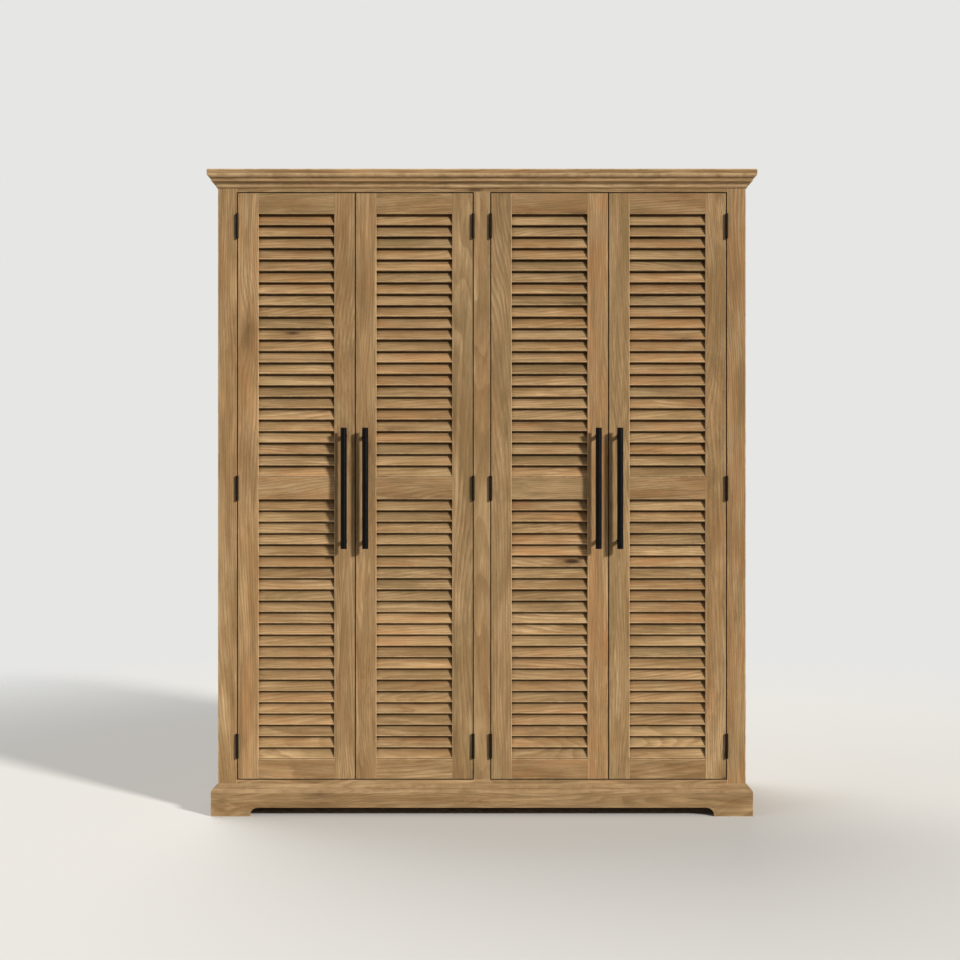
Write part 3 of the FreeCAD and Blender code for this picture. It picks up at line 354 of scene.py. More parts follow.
def blackMetal(name, look):
    material, tree, shader = newMaterial(name)
    place = add(tree, "TexCoord").outputs["Object"]
    fine = noise(tree, place, metal["grain"], 2.0, 0.6)
    coarse = noise(tree, place, 60.0, 3.0, 0.6)
    scuffs = remap(tree, noise(tree, place, 180.0, 3.0, 0.7), 0.45, 0.62, 0.05, 0.6)
    rub = maths(tree, "MULTIPLY", attribute(tree, "edgeWear"), scuffs)
    rub = maths(tree, "ADD", rub, remap(tree, coarse, 0.55, 0.8, 0.0, 0.1))
    tree.links.new(blend(tree, rub, look["black"], look["rubbed"]), shader.inputs["Base Color"])
    tree.links.new(remap(tree, coarse, 0.3, 0.7, *look["rough"]), shader.inputs["Roughness"])
    shader.inputs["Specular IOR Level"].default_value = look["specular"]
    bump(tree, shader, fine, 0.22, 0.0002)
    return material


# Painted shade for the cross recesses of screw heads and the seams round sunk heads
screwHoleShade = {"dark": tone(14, 12, 10), "dust": tone(34, 28, 22), "rough": 0.85}


def screwRecessShade():
    material, tree, shader = newMaterial("screwRecessShade")
    shadeAndGrime = noise(tree, add(tree, "TexCoord").outputs["Object"], 900.0, 3.0, 0.6)
    tree.links.new(blend(tree, shadeAndGrime, screwHoleShade["dark"], screwHoleShade["dust"]), shader.inputs["Base Color"])
    shader.inputs["Roughness"].default_value = screwHoleShade["rough"]
    return material


steel = {
    "tube": {"colour": tone(188, 188, 186), "along": "X", "rough": (0.25, 0.4)},
    "socket": {"colour": tone(176, 176, 174), "along": "Z", "rough": (0.31, 0.46)},
    "brush": 2400.0,
    "darker": 0.72,  # brightness of the brush marks
}


def brushedSteel(name, look):
    material, tree, shader = newMaterial(name)
    place = add(tree, "TexCoord").outputs["Object"]
    scale = tuple(0.02 if axis == look["along"] else 1.0 for axis in "XYZ")
    brush = noise(tree, vectorMaths(tree, "MULTIPLY", place, scale), steel["brush"], 3.0, 0.6)
    smear = noise(tree, place, 45.0, 3.0, 0.6)
    darker = tuple(steel["darker"] * c for c in look["colour"][:3]) + (1.0,)
    brushed = blend(tree, remap(tree, brush, 0.35, 0.65, 0.0, 0.5), look["colour"], darker)
    tree.links.new(brushed, shader.inputs["Base Color"])
    tree.links.new(remap(tree, smear, 0.3, 0.7, *look["rough"]), shader.inputs["Roughness"])
    shader.inputs["Metallic"].default_value = 1.0
    bump(tree, shader, brush, 0.15, 0.0001)
    return material


zinc = {
    "bright": tone(176, 178, 176),
    "dull": tone(140, 140, 132),
    "stain": tone(120, 112, 92),
    "spangles": 420.0,
    "rough": (0.28, 0.46),
    "metallic": 0.9,
}


def zincPlate():
    material, tree, shader = newMaterial("zincPlate")
    place = add(tree, "TexCoord").outputs["Object"]
    cells = add(tree, "TexVoronoi", {"Vector": place, "Scale": zinc["spangles"]}).outputs["Color"]
    value = add(tree, "RGBToBW", {0: cells}).outputs[0]
    smear = noise(tree, place, 90.0, 3.0, 0.6)
    colour = blend(tree, remap(tree, value, 0.2, 0.8, 0.0, 0.5), zinc["bright"], zinc["dull"])
    darkened = blend(tree, remap(tree, smear, 0.5, 0.8, 0.0, 0.4), colour, zinc["stain"])
    tree.links.new(darkened, shader.inputs["Base Color"])
    tree.links.new(remap(tree, smear, 0.3, 0.7, *zinc["rough"]), shader.inputs["Roughness"])
    shader.inputs["Metallic"].default_value = zinc["metallic"]
    bump(tree, shader, value, 0.08, 0.0001)
    return material


plastic = {"dark": tone(92, 62, 40), "light": tone(112, 78, 52), "rough": (0.5, 0.62)}


def mouldedPlastic():
    material, tree, shader = newMaterial("catchPlastic")
    place = add(tree, "TexCoord").outputs["Object"]
    fine = noise(tree, place, 1400.0, 2.0, 0.5)
    mottle = noise(tree, place, 70.0, 3.0, 0.6)
    colour = blend(tree, remap(tree, mottle, 0.3, 0.7), plastic["dark"], plastic["light"])
    tree.links.new(colour, shader.inputs["Base Color"])
    tree.links.new(remap(tree, mottle, 0.3, 0.7, *plastic["rough"]), shader.inputs["Roughness"])
    bump(tree, shader, fine, 0.12, 0.0002)
    return material


veneer = {
    "pale": tone(178, 148, 108),
    "mid": tone(164, 132, 92),
    "flame": tone(134, 100, 64),
    "fibre": tone(126, 96, 62),
    "joint": tone(62, 44, 28),
    "contours": 26.0,
    "rough": (0.6, 0.74),
}


# Rotary cut veneer: its figure is the contour lines of a slow field. Two sheets meet behind the partition
def plywood():
    material, tree, shader = newMaterial("plywood")
    place = add(tree, "TexCoord").outputs["Object"]
    side = add(tree, "SeparateXYZ", {0: place}).outputs["X"]
    sheet = maths(tree, "ADD", attribute(tree, "boardNumber"), maths(tree, "GREATER_THAN", side, 0.0))
    luck = add(tree, "TexWhiteNoise", {"W": sheet}, noise_dimensions="1D").outputs["Color"]
    seam = remap(tree, maths(tree, "ABSOLUTE", side), 0.0003, 0.0007, 1.0, 0.0, smooth=True)
    board = vectorMaths(tree, "MULTIPLY_ADD", luck, (3.0, 3.0, 3.0), place)
    field = noise(tree, stretched(tree, board, 0.3), 3.2, 3.0, 0.45)
    band = maths(tree, "FRACT", maths(tree, "MULTIPLY", field, veneer["contours"]))
    rising = remap(tree, band, 0.1, 0.85, smooth=True)
    flame = maths(tree, "MULTIPLY", rising, remap(tree, band, 0.85, 1.0, 1.0, 0.0, smooth=True))
    fibre = noise(tree, stretched(tree, board, 0.02), 500.0, 3.0, 0.6)
    cloud = noise(tree, stretched(tree, board, 0.4), 7.0, 3.0, 0.6)
    colour = blend(tree, remap(tree, cloud, 0.3, 0.7), veneer["pale"], veneer["mid"])
    colour = blend(tree, maths(tree, "MULTIPLY", flame, 0.45), colour, veneer["flame"])
    colour = blend(tree, remap(tree, fibre, 0.3, 0.7, 0.0, 0.3), colour, veneer["fibre"])
    colour = blend(tree, seam, colour, veneer["joint"])
    tree.links.new(colour, shader.inputs["Base Color"])
    tree.links.new(remap(tree, fibre, 0.3, 0.7, *veneer["rough"]), shader.inputs["Roughness"])
    bump(tree, shader, maths(tree, "ADD", maths(tree, "MULTIPLY", flame, 0.3), fibre), 0.3, 0.0004)
    return material


finishes = {
    "upright": woodFinish("uprightWood", "Z", seamShaded=True),
    "rail": woodFinish("railWood", "X", light=0.9, seamShaded=True),
    "slat": woodFinish("slatWood", "X", light=1.04, spread=0.15, streaks=0.6, recess=True),
    "side": woodFinish("sideWood", "Z", wood["stave"], light=0.95, streaks=0.35, figure=0.85),
    "shelf": woodFinish("shelfWood", "X", wood["stave"]),
    "cornice": woodFinish("corniceWood", "X", light=0.96, figure=0.8, rubbed=0.75),
    "corniceReturn": woodFinish("corniceReturnWood", "Y", light=0.96, figure=0.8, rubbed=0.75),
    "plinth": woodFinish("plinthWood", "X", light=0.86, rubbed=0.35),
    "plinthReturn": woodFinish("plinthReturnWood", "Y", light=0.86, rubbed=0.35),
    "plywood": plywood(),
    "bar": blackMetal("blackBar", metal["bar"]),
    "hinge": blackMetal("blackHinge", metal["hinge"]),
    "tube": brushedSteel("brushedTube", steel["tube"]),
    "socket": brushedSteel("socketSteel", steel["socket"]),
    "zinc": zincPlate(),
    "plastic": mouldedPlastic(),
    # painted shade for screw recesses
    "recess": screwRecessShade(),
}
print("finishes:", len(finishes))


# Boards: fine copies of the frame's own solids, each with a number and a character of its own

boards = {
    "seed": 41,
    "firstNumber": 10,
    "numberGap": 3,  # between one node's boards and the next one's
    "weld": 2e-5,
    "flat": 0.8,  # faces that meet at less than this many degrees become one
    "smooth": 32,  # shading is smooth across an edge up to this many degrees
    "bevel": 0.0004,
    "doorBevel": 0.0003,
    "bevelAngle": 40,
    "bevelSegments": 2,
    "roundingWidth": 0.0016,
    "ease": 0.0013,
    "near": 1e-5,
    "character": {  # -1 is olive and grey, 1 is warm and reddish
        "door_1_top_rail": -0.8, "door_1_hinge_stile": 0.5,
        "door_1_meeting_stile": -0.1, "door_1_mid_rail": 0.5,
        "door_2_top_rail": -0.1, "door_2_meeting_stile": 0.1,
        "door_3_meeting_stile": 1.0, "door_3_hinge_stile": -0.4,
        "door_3_bottom_rail": 0.8, "door_3_mid_rail": -0.7,
        "door_4_meeting_stile": -0.7, "door_4_mid_rail": 0.6,
        "left_stile": 0.1, "right_stile": 0.6, "centre_stile": -0.2,
        "head_rail": -0.3, "sill_rail": 0.3, "plinth_front": -0.2,
        "top_board": -0.4, "cornice_front": 0.0,
    },
}
boardLuck = random.Random(boards["seed"])
boardCount = boards["firstNumber"]


def camel(node):
    words = node.split("_")
    return words[0] + "".join(word.capitalize() for word in words[1:])


def mergedCopy(node):
    bm = bmesh.new()
    bm.from_mesh(nodes[node].data)
    bmesh.ops.remove_doubles(bm, verts=bm.verts, dist=boards["weld"])
    bmesh.ops.dissolve_limit(bm, angle_limit=math.radians(boards["flat"]), verts=bm.verts, edges=bm.edges)
    bmesh.ops.recalc_face_normals(bm, faces=bm.faces)
    return bm


def islands(bm):
    seen = set()
    for start in bm.verts:
        if start in seen:
            continue
        island, waiting = [], [start]
        seen.add(start)
        while waiting:
            vert = waiting.pop()
            island.append(vert)
            for edge in vert.link_edges:
                far = edge.other_vert(vert)
                if far not in seen:
                    seen.add(far)
                    waiting.append(far)
        yield island


def markBoards(bm, node):
    global boardCount
    layers = bm.verts.layers
    number = layers.float.new("boardNumber")
    warmth = layers.float.new("boardWarmth")
    lowest = layers.float_vector.new("boardLow")
    highest = layers.float_vector.new("boardHigh")
    for island in list(islands(bm)):
        low = Vector([min(vert.co[axis] for vert in island) for axis in range(3)])
        high = Vector([max(vert.co[axis] for vert in island) for axis in range(3)])
        own = boards["character"].get(node, boardLuck.uniform(-1, 1))
        for vert in island:
            vert[number], vert[warmth] = boardCount, own
            vert[lowest], vert[highest] = low, high
        boardCount += 1
    boardCount += boards["numberGap"]


# Marks the narrow faces of the roundings, which wear first
def markRoundings(bm, width):
    wear = bm.loops.layers.float.new("edgeWear")
    for face in bm.faces:
        longest = max(edge.calc_length() for edge in face.edges)
        for loop in face.loops:
            loop[wear] = 1.0 if face.calc_area() / longest < width else 0.0


def smoothByAngle(bm):
    for face in bm.faces:
        face.smooth = True
    for edge in bm.edges:
        edge.smooth = len(edge.link_faces) == 2 and edge.calc_face_angle(0.0) < math.radians(boards["smooth"])


def makePiece(bm, name, body, slot, finish, bevel=0.0):
    smoothByAngle(bm)
    mesh = bpy.data.meshes.new(name)
    bm.to_mesh(mesh)
    bm.free()
    piece = bpy.data.objects.new(name, mesh)
    bpy.context.scene.collection.objects.link(piece)
    mesh.materials.append(finishes[finish])
    if bevel:
        soften = piece.modifiers.new("soften", "BEVEL")
        soften.width = bevel
        soften.segments = boards["bevelSegments"]
        soften.limit_method = "ANGLE"
        soften.angle_limit = math.radians(boards["bevelAngle"])
        soften.miter_outer = "MITER_ARC"
    weigh = piece.modifiers.new("weigh", "WEIGHTED_NORMAL")
    weigh.keep_sharp = True
    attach(piece, body)
    return piece


# The outside of a door, from its two stiles
def doorLimits(door):
    stiles = [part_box("door_%d_%s" % (door, part)) for part in ("hinge_stile", "meeting_stile")]
    low = Vector([min(box[0][axis] for box in stiles) for axis in range(3)])
    high = Vector([max(box[1][axis] for box in stiles) for axis in range(3)])
    return low, high


# True where all the verts lie within reach of one of the door's four narrow sides
def atSide(verts, limits, reach):
    sides = [(axis, limit[axis]) for axis in (0, 2) for limit in limits]
    return any(all(abs(vert.co[axis] - side) < reach for vert in verts) for axis, side in sides)


# Rounds the arrises round the outside of a door, and marks its narrow sides for painted shade in the seams
def easeOutside(bm, limits):
    near = boards["near"]
    arrises = []
    for edge in bm.edges:
        onFace = any(all(abs(vert.co.y - limit.y) < near for vert in edge.verts) for limit in limits)
        if onFace and atSide(edge.verts, limits, near):
            arrises.append(edge)
    bmesh.ops.bevel(bm, geom=arrises, offset=boards["ease"], segments=3, profile=0.5, affect="EDGES",
                    material=-1, clamp_overlap=True)
    # painted shade on the narrow sides of the door, inside the seams
    stain = bm.loops.layers.float.new("paintedSeamShade")
    for face in bm.faces:
        darkened = atSide(face.verts, limits, boards["ease"] + near)
        for loop in face.loops:
            loop[stain] = 1.0 if darkened else 0.0


def cutBoards(node, body, slot, finish, bevel=boards["bevel"], limits=None):
    bm = mergedCopy(node)
    if limits:
        easeOutside(bm, limits)
    markBoards(bm, node)
    markRoundings(bm, boards["roundingWidth"])
    piece = makePiece(bm, camel(node), body, slot, finish, bevel)
    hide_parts(node)


carcassBoards = {
    "left_side": ("wood_upright", "side"),
    "right_side": ("wood_upright", "side"),
    "centre_partition": ("wood_upright", "side"),
    "centre_bearer": ("wood_level", "shelf"),
    "floor_panel": ("wood_level", "shelf"),
    "ceiling_panel": ("wood_level", "shelf"),
    "hat_shelves": ("wood_level", "shelf"),
    "top_board": ("wood_level", "shelf"),
    "back_panels": ("plywood", "plywood"),
    "wall_rails": ("wood_level", "rail"),
    "left_stile": ("wood_upright", "upright"),
    "right_stile": ("wood_upright", "upright"),
    "centre_stile": ("wood_upright", "upright"),
    "head_rail": ("wood_level", "rail"),
    "sill_rail": ("wood_level", "rail"),
    "cornice_front": ("wood_level", "cornice"),
    "cornice_returns": ("wood_level", "corniceReturn"),
    "plinth_front": ("wood_level", "plinth"),
    "plinth_returns": ("wood_level", "plinthReturn"),
}
for node, (slot, finish) in carcassBoards.items():
    cutBoards(node, "carcass", slot, finish)
print("carcass boards:", len(carcassBoards))

doorBoards = {
    "hinge_stile": ("wood_upright", "upright"),
    "meeting_stile": ("wood_upright", "upright"),
    "top_rail": ("wood_level", "rail"),
    "mid_rail": ("wood_level", "rail"),
    "bottom_rail": ("wood_level", "rail"),
    "louvres": ("wood_slats", "slat"),
}
for door in range(1, 5):
    for part, (slot, finish) in doorBoards.items():
        name, body = "door_%d_%s" % (door, part), "door_%d" % door
        if part == "louvres":
            cutBoards(name, body, slot, finish, 0.0)
        else:
            cutBoards(name, body, slot, finish, boards["doorBevel"], doorLimits(door))
print("door boards:", 4 * len(doorBoards))


# Metalwork

fittings = {
    "roundingWidth": 0.0006,
    "fineRounding": 0.0003,
    "leafBevel": 0.00025,
    "castBevel": 0.0005,
    "rimAngle": 70,
}


def cutMetal(node, body, slot, finish, bevel=0.0):
    bm = mergedCopy(node)
    markRoundings(bm, fittings["roundingWidth"])
    piece = makePiece(bm, camel(node), body, slot, finish, bevel)
    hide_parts(node)


def turnTo(axis):
    return Vector((0, 0, 1)).rotation_difference(Vector(axis)).to_matrix().to_4x4()


def turnedBar(bm, start, axis, length, shape):
    middle = Vector(start) + Vector(axis) * length / 2
    made = bmesh.ops.create_cone(bm, cap_ends=True, segments=shape["sides"], radius1=shape["radius"],
                                 radius2=shape["radius"], depth=length,
                                 matrix=Matrix.Translation(middle) @ turnTo(axis))
    edges = {edge for vert in made["verts"] for edge in vert.link_edges}
    rims = [edge for edge in edges if edge.calc_face_angle(0.0) > math.radians(fittings["rimAngle"])]
    bmesh.ops.bevel(bm, geom=rims, offset=shape["edge"], segments=3, profile=0.5, affect="EDGES",
                    material=-1, clamp_overlap=True)


screwShape = {
    "seed": 7,  # for the turn of each head
    "sides": 20,
    "arm": 0.62,  # this and the next four are shares of the head's radius
    "slot": 0.17,
    "taper": 0.6,
    "flatShare": 0.7,
    "rim": 0.09,
    "floor": 0.85,  # how wide the cross is at its bottom
}


# The faces of a head that look straight up
def upward(bm):
    return [face for face in bm.faces if face.normal.z > 0.99]


# The head of a cross-head screw, its face at the origin and looking up, to be copied wherever one is needed
def crossHead(radius, depth, sink, dome=0.0):
    bm = bmesh.new()
    tip = radius * screwShape["taper"]
    bmesh.ops.create_cone(bm, cap_ends=True, segments=screwShape["sides"], radius1=tip, radius2=radius,
                          depth=depth, matrix=Matrix.Translation((0, 0, -depth / 2 - dome)))
    top = max(bm.faces, key=lambda face: face.calc_center_median().z)
    if dome:
        shoulder = radius * (1 - screwShape["flatShare"])
        bmesh.ops.inset_individual(bm, faces=[top], thickness=shoulder, depth=dome)
    else:
        rim = bmesh.ops.inset_individual(bm, faces=[top], thickness=radius * screwShape["rim"])["faces"]
        for face in rim:
            face.material_index = 1  # painted shade in the seam round a sunk head
    half, reach = radius * screwShape["slot"], radius * screwShape["arm"]
    for normal in (Vector((1, 0, 0)), Vector((0, 1, 0))):
        for away in (-reach, -half, half, reach):
            flat = upward(bm)
            edges = list({edge for face in flat for edge in face.edges})
            verts = list({vert for face in flat for vert in face.verts})
            bmesh.ops.bisect_plane(bm, geom=verts + edges + flat, plane_co=normal * away, plane_no=normal)
    cross = []
    for face in upward(bm):
        centre = face.calc_center_median()
        across, along = sorted((abs(centre.x), abs(centre.y)))
        if across < half and along < reach:
            face.material_index = 1  # painted shade: the recess is dark
            cross.append(face)
    moved = bmesh.ops.extrude_face_region(bm, geom=cross)["geom"]
    bmesh.ops.delete(bm, geom=cross, context="FACES_ONLY")
    floor = [item for item in moved if isinstance(item, bmesh.types.BMVert)]
    bmesh.ops.scale(bm, vec=(screwShape["floor"], screwShape["floor"], 1.0), verts=floor)
    bmesh.ops.translate(bm, vec=(0, 0, -sink), verts=floor)
    bmesh.ops.recalc_face_normals(bm, faces=bm.faces)
    mesh = bpy.data.meshes.new("crossHead")
    bm.to_mesh(mesh)
    bm.free()
    return mesh


screwLuck = random.Random(screwShape["seed"])


def addScrew(bm, head, place, axis):
    before = set(bm.verts)
    bm.from_mesh(head)
    new = [vert for vert in bm.verts if vert not in before]
    turn = Matrix.Rotation(screwLuck.uniform(0, math.pi / 2), 4, "Z")
    bmesh.ops.transform(bm, matrix=Matrix.Translation(place) @ turnTo(axis) @ turn, verts=new)


def screwPiece(name, body, slot, finish, head, places):
    bm = bmesh.new()
    for place, axis in places:
        addScrew(bm, head, Vector(place), axis)
    markRoundings(bm, fittings["fineRounding"])
    piece = makePiece(bm, name, body, slot, finish)
    # the second material paints shade into the recesses and the seams round the heads
    piece.data.materials.append(finishes["recess"])


cutMetal("frame_hinge_leaves", "carcass", "black_metal", "hinge", fittings["leafBevel"])
cutMetal("hinge_pins", "carcass", "black_metal", "hinge")
for door in range(1, 5):
    body = "door_%d" % door
    cutMetal(body + "_hinge_leaves", body, "black_metal", "hinge", fittings["leafBevel"])
    cutMetal(body + "_fastenings", body, "zinc_steel", "zinc")
cutMetal("magnetic_catches", "carcass", "catch_plastic", "plastic", fittings["castBevel"])
cutMetal("rail_sockets", "carcass", "steel_tube", "socket", fittings["castBevel"])

hinge = {
    "knuckleRadius": 0.0045,
    "barrelGap": 0.0005,
    "leafDepth": 0.022,
    "halfGap": 0.0002,
    "length": 0.076,
    "offsetShare": 0.2,
    "spacingShare": 0.33,
    "headRadius": 0.0033,
    "headDepth": 0.0014,
    "recess": 0.0007,
    "sunk": 0.00012,
}


# Places of the screws of one door's hinges. side is 1 where the door lies to the right of its pins
def hingeScrews(door, side, onDoor):
    low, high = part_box("door_%d_hinge_leaves" % door)
    pinX = (low.x + high.x) / 2
    pinY = low.y + hinge["knuckleRadius"]
    row = pinY + hinge["knuckleRadius"] + hinge["barrelGap"] + hinge["leafDepth"] / 2
    offset = hinge["leafDepth"] * hinge["offsetShare"]
    spacing = hinge["length"] * hinge["spacingShare"]
    half = hinge["length"] / 2
    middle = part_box("door_%d_mid_rail" % door)
    heights = (low.z + half, (middle[0].z + middle[1].z) / 2, high.z - half)
    face = side if onDoor else -side
    x = pinX + face * (hinge["halfGap"] + hinge["sunk"])
    for height in heights:
        for shift, rise in ((-offset, -spacing), (offset, 0.0), (-offset, spacing)):
            yield (x, row + shift, height + rise), (-face, 0, 0)


hingeHead = crossHead(hinge["headRadius"], hinge["headDepth"], hinge["recess"])
framePlaces = []
for door, side in ((1, 1), (2, -1), (3, 1), (4, -1)):
    framePlaces += list(hingeScrews(door, side, False))
    places = list(hingeScrews(door, side, True))
    screwPiece("door%dHingeScrews" % door, "door_%d" % door, "black_metal", "hinge", hingeHead, places)
screwPiece("frameHingeScrews", "carcass", "black_metal", "hinge", hingeHead, framePlaces)

handle = {
    "bar": {"radius": 0.0095, "edge": 0.0008, "sides": 48},
    "post": {"radius": 0.006, "edge": 0.0003, "sides": 36},
    "collar": {"radius": 0.0078, "edge": 0.0006, "sides": 40},
    "collarDepth": 0.0022,
    "postSpacing": 0.324,
    "roundingWidth": 0.0005,
}


# A bar on two posts, each with a collar where it meets the stile
def makeHandle(door):
    node = "door_%d_handle" % door
    low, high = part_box(node)
    middle = (low + high) / 2
    barY = low.y + handle["bar"]["radius"]
    collarY = high.y - handle["collarDepth"]
    bm = bmesh.new()
    turnedBar(bm, (middle.x, barY, low.z), (0, 0, 1), high.z - low.z, handle["bar"])
    for side in (-1, 1):
        z = middle.z + side * handle["postSpacing"] / 2
        turnedBar(bm, (middle.x, barY, z), (0, 1, 0), high.y - barY, handle["post"])
        turnedBar(bm, (middle.x, collarY, z), (0, 1, 0), handle["collarDepth"], handle["collar"])
    markRoundings(bm, handle["roundingWidth"])
    piece = makePiece(bm, "door%dHandle" % door, "door_%d" % door, "black_metal", "bar")
    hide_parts(node)


for door in range(1, 5):
    makeHandle(door)

hangingRail = {"radius": 0.0125, "wall": 0.0015, "sides": 64, "centreGap": 0.0135, "edge": 0.0004}


# A tube is a ring of faces, drawn along X
def makeHangingRails():
    low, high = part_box("hanging_rails")
    y, z = (low.y + high.y) / 2, (low.z + high.z) / 2
    inner = hangingRail["centreGap"]
    bm = bmesh.new()
    for start, length in ((low.x, -inner - low.x), (inner, high.x - inner)):
        turn = Matrix.Translation((start, y, z)) @ turnTo((1, 0, 0))
        rims = []
        for radius in (hangingRail["radius"], hangingRail["radius"] - hangingRail["wall"]):
            made = bmesh.ops.create_circle(bm, segments=hangingRail["sides"], radius=radius, matrix=turn)
            rims += list({edge for vert in made["verts"] for edge in vert.link_edges})
        ring = bmesh.ops.bridge_loops(bm, edges=rims)["faces"]
        moved = bmesh.ops.extrude_face_region(bm, geom=ring, use_keep_orig=True)["geom"]
        farEnd = [item for item in moved if isinstance(item, bmesh.types.BMVert)]
        bmesh.ops.translate(bm, vec=(length, 0, 0), verts=farEnd)
    bmesh.ops.recalc_face_normals(bm, faces=bm.faces)
    markRoundings(bm, fittings["fineRounding"])
    piece = makePiece(bm, "hangingRails", "carcass", "steel_tube", "tube", hangingRail["edge"])
    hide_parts("hanging_rails")


makeHangingRails()

socket = {
    "flange": 0.003,
    "screwCircle": 0.0222,
    "screwTurns": (90, 210, 330),
    "headRadius": 0.0033,
    "headDepth": 0.0015,
    "dome": 0.0006,
    "proud": 0.0008,
    "recess": 0.0007,
}


def makeSocketScrews():
    low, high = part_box("rail_sockets")
    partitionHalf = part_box("centre_partition")[1].x
    y, z = (low.y + high.y) / 2, (low.z + high.z) / 2
    head = crossHead(socket["headRadius"], socket["headDepth"], socket["recess"], socket["dome"])
    places = []
    for wall, face in ((low.x, 1), (-partitionHalf, -1), (partitionHalf, 1), (high.x, -1)):
        x = wall + face * (socket["flange"] + socket["proud"])
        for turn in socket["screwTurns"]:
            across = socket["screwCircle"] * math.cos(math.radians(turn))
            up = socket["screwCircle"] * math.sin(math.radians(turn))
            places.append(((x, y + across, z + up), (face, 0, 0)))
    screwPiece("socketScrews", "carcass", "zinc_steel", "zinc", head, places)


makeSocketScrews()

catch = {
    "earOut": 0.024,
    "earThick": 0.003,
    "headRadius": 0.0033,
    "headDepth": 0.0016,
    "dome": 0.0006,
    "proud": 0.0008,
    "recess": 0.0007,
    "poleWide": 0.024,
    "poleThick": 0.0014,
    "poleApart": 0.006,
    "poleProud": 0.0001,
    "poleEdge": 0.0002,
}
strike = {"screwOut": 0.0165, "thick": 0.0012, "proud": 0.0002, "headRadius": 0.0031, "recess": 0.00016}


# Two steel pole plates in the face of each catch, the screws in its ears, and the screws of its strike plate
def makeCatchMetal():
    low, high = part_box("magnetic_catches")
    depth = (high.y - low.y) / 2
    middle = (low.z + high.z) / 2
    earFace = high.z - catch["earThick"] - catch["proud"]
    domed = crossHead(catch["headRadius"], catch["headDepth"], catch["recess"], catch["dome"])
    sunk = crossHead(strike["headRadius"], strike["thick"], strike["recess"])
    plates = bmesh.new()
    earScrews = []
    for door in range(1, 5):
        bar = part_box("door_%d_handle" % door)
        x = (bar[0].x + bar[1].x) / 2
        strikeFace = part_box("door_%d_top_rail" % door)[1].y + strike["thick"] + strike["proud"]
        strikeScrews = []
        for side in (-1, 1):
            z = middle - catch["earThick"] / 2 + side * catch["poleApart"] / 2
            made = bmesh.ops.create_cube(plates, size=1.0)
            size = Matrix.Diagonal((catch["poleWide"], depth, catch["poleThick"], 1.0))
            centre = Matrix.Translation((x, low.y - catch["poleProud"] + depth / 2, z))
            bmesh.ops.transform(plates, matrix=centre @ size, verts=made["verts"])
            earScrews.append(((x + side * catch["earOut"], low.y + depth, earFace), (0, 0, -1)))
            strikeScrews.append(((x + side * strike["screwOut"], strikeFace, middle), (0, 1, 0)))
        screwPiece("door%dStrikeScrews" % door, "door_%d" % door, "zinc_steel", "zinc", sunk, strikeScrews)
    markRoundings(plates, fittings["fineRounding"])
    makePiece(plates, "catchPolePlates", "carcass", "zinc_steel", "zinc", catch["poleEdge"])
    screwPiece("catchScrews", "carcass", "zinc_steel", "zinc", domed, earScrews)


makeCatchMetal()

pins = {"radius": 0.0022, "taper": 0.8, "thick": 0.0003, "in": 0.007, "spacing": 0.16, "sides": 12}


# Flat heads of the pins that hold the back sheets, along the edges of both
def makeBackPins():
    low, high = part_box("back_panels")
    spots = []
    steps = round((high.z - low.z) / pins["spacing"])
    for x in (low.x + pins["in"], -pins["in"], pins["in"], high.x - pins["in"]):
        for step in range(steps + 1):
            spots.append((x, low.z + pins["in"] + step * (high.z - low.z - 2 * pins["in"]) / steps))
    for z in (low.z + pins["in"], high.z - pins["in"]):
        for side in (-1, 1):
            steps = round(high.x / pins["spacing"])
            for step in range(1, steps):
                spots.append((side * (pins["in"] + step * (high.x - 2 * pins["in"]) / steps), z))
    bm = bmesh.new()
    for x, z in spots:
        bmesh.ops.create_cone(bm, cap_ends=True, segments=pins["sides"], radius1=pins["radius"],
                              radius2=pins["radius"] * pins["taper"], depth=pins["thick"] * 2,
                              matrix=Matrix.Translation((x, high.y, z)) @ turnTo((0, 1, 0)))
    markRoundings(bm, fittings["fineRounding"])
    makePiece(bm, "backPins", "carcass", "zinc_steel", "zinc")


makeBackPins()
print("metalwork")


# Light, floor and camera

stage = {
    "floor": tone(212, 211, 208),
    "backdrop": tone(230, 230, 228),
    "skyColour": (1.0, 0.99, 0.97, 1.0),
    "sky": 0.14,
    "mirrored": 0.45,  # how much of the backdrop's light is seen in reflections
    "fade": (1.8, 4.8),
    "floorRadius": 14.0,
    "floorSides": 96,
    "floorRough": 0.9,
    "floorSpecular": 0.1,
    "lampDistance": 5,
}


def makeFloor():
    bm = bmesh.new()
    bmesh.ops.create_circle(bm, cap_ends=True, segments=stage["floorSides"], radius=stage["floorRadius"])
    mesh = bpy.data.meshes.new("studioFloor")
    bm.to_mesh(mesh)
    bm.free()
    floor = bpy.data.objects.new("studioFloor", mesh)
    bpy.context.scene.collection.objects.link(floor)
    material, tree, shader = newMaterial("studioFloor")
    shader.inputs["Base Color"].default_value = stage["floor"]
    shader.inputs["Roughness"].default_value = stage["floorRough"]
    shader.inputs["Specular IOR Level"].default_value = stage["floorSpecular"]
    clear = add(tree, "BsdfTransparent")
    place = add(tree, "TexCoord").outputs["Object"]
    away = add(tree, "VectorMath", {0: place}, operation="LENGTH").outputs["Value"]
    fade = remap(tree, away, *stage["fade"], smooth=True)
    mix = add(tree, "MixShader", {0: fade, 1: shader.outputs["BSDF"], 2: clear.outputs["BSDF"]})
    output = next(node for node in tree.nodes if node.type == "OUTPUT_MATERIAL")
    tree.links.new(mix.outputs[0], output.inputs["Surface"])
    mesh.materials.append(material)


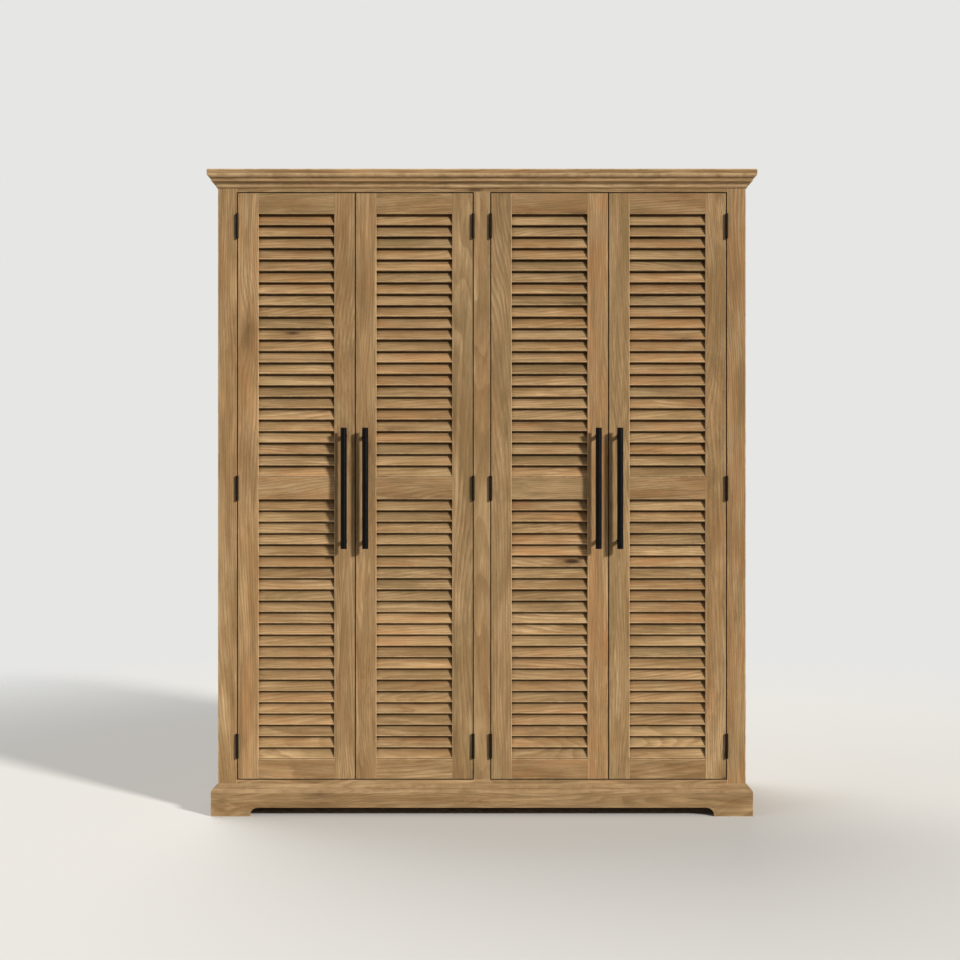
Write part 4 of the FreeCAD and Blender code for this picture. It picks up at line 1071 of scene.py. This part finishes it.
def makeSky():
    world = bpy.data.worlds.new("studio")
    bpy.context.scene.world = world
    world.use_nodes = True
    tree = world.node_tree
    tree.nodes.clear()
    output = tree.nodes.new("ShaderNodeOutputWorld")
    rays = add(tree, "LightPath").outputs
    mirrored = maths(tree, "MAXIMUM", rays["Is Glossy Ray"], rays["Is Transmission Ray"])
    seen = maths(tree, "MAXIMUM", rays["Is Camera Ray"], mirrored)
    soft = add(tree, "Background", {"Color": stage["skyColour"], "Strength": stage["sky"]})
    dimmer = maths(tree, "MULTIPLY", rays["Is Glossy Ray"], 1 - stage["mirrored"])
    strength = maths(tree, "SUBTRACT", 1.0, dimmer)
    shown = add(tree, "Background", {"Color": stage["backdrop"], "Strength": strength})
    mix = add(tree, "MixShader", {0: seen, 1: soft.outputs[0], 2: shown.outputs[0]})
    tree.links.new(mix.outputs[0], output.inputs["Surface"])


# Each lamp is far away and soft. Turn is to the right of the front, height is above the floor, in degrees
lamps = {
    "key": {"turn": 46, "height": 24, "soft": 7, "strength": 3.95, "colour": (1.0, 0.972, 0.92)},
    "fill": {"turn": -80, "height": 35, "soft": 60, "strength": 0.8, "colour": (0.95, 0.975, 1.0)},
    "behind": {"turn": -150, "height": 50, "soft": 50, "strength": 1.9, "colour": (1.0, 0.98, 0.95)},
}


def makeLamps():
    for name, lamp in lamps.items():
        light = bpy.data.lights.new(name, "SUN")
        light.angle = math.radians(lamp["soft"])
        light.energy = lamp["strength"]
        light.color = lamp["colour"]
        holder = bpy.data.objects.new(name, light)
        bpy.context.scene.collection.objects.link(holder)
        turn, height = math.radians(lamp["turn"]), math.radians(lamp["height"])
        level = math.cos(height)
        away = Vector((math.sin(turn) * level, -math.cos(turn) * level, math.sin(height)))
        holder.location = away * stage["lampDistance"]
        holder.rotation_euler = (-away).to_track_quat("-Z", "Y").to_euler()


view = {"place": (-0.006, -5.009, 1.0344), "lens": 57.7, "sensor": 36.0, "pitch": 90}


def makeCamera():
    data = bpy.data.cameras.new("camera")
    data.lens = view["lens"]
    data.sensor_width = view["sensor"]
    camera = bpy.data.objects.new("camera", data)
    bpy.context.scene.collection.objects.link(camera)
    camera.location = view["place"]
    camera.rotation_euler = (math.radians(view["pitch"]), 0, 0)
    bpy.context.scene.camera = camera


makeFloor()
makeSky()
makeLamps()
makeCamera()
bpy.context.scene.view_settings.view_transform = "Standard"
print("stage")
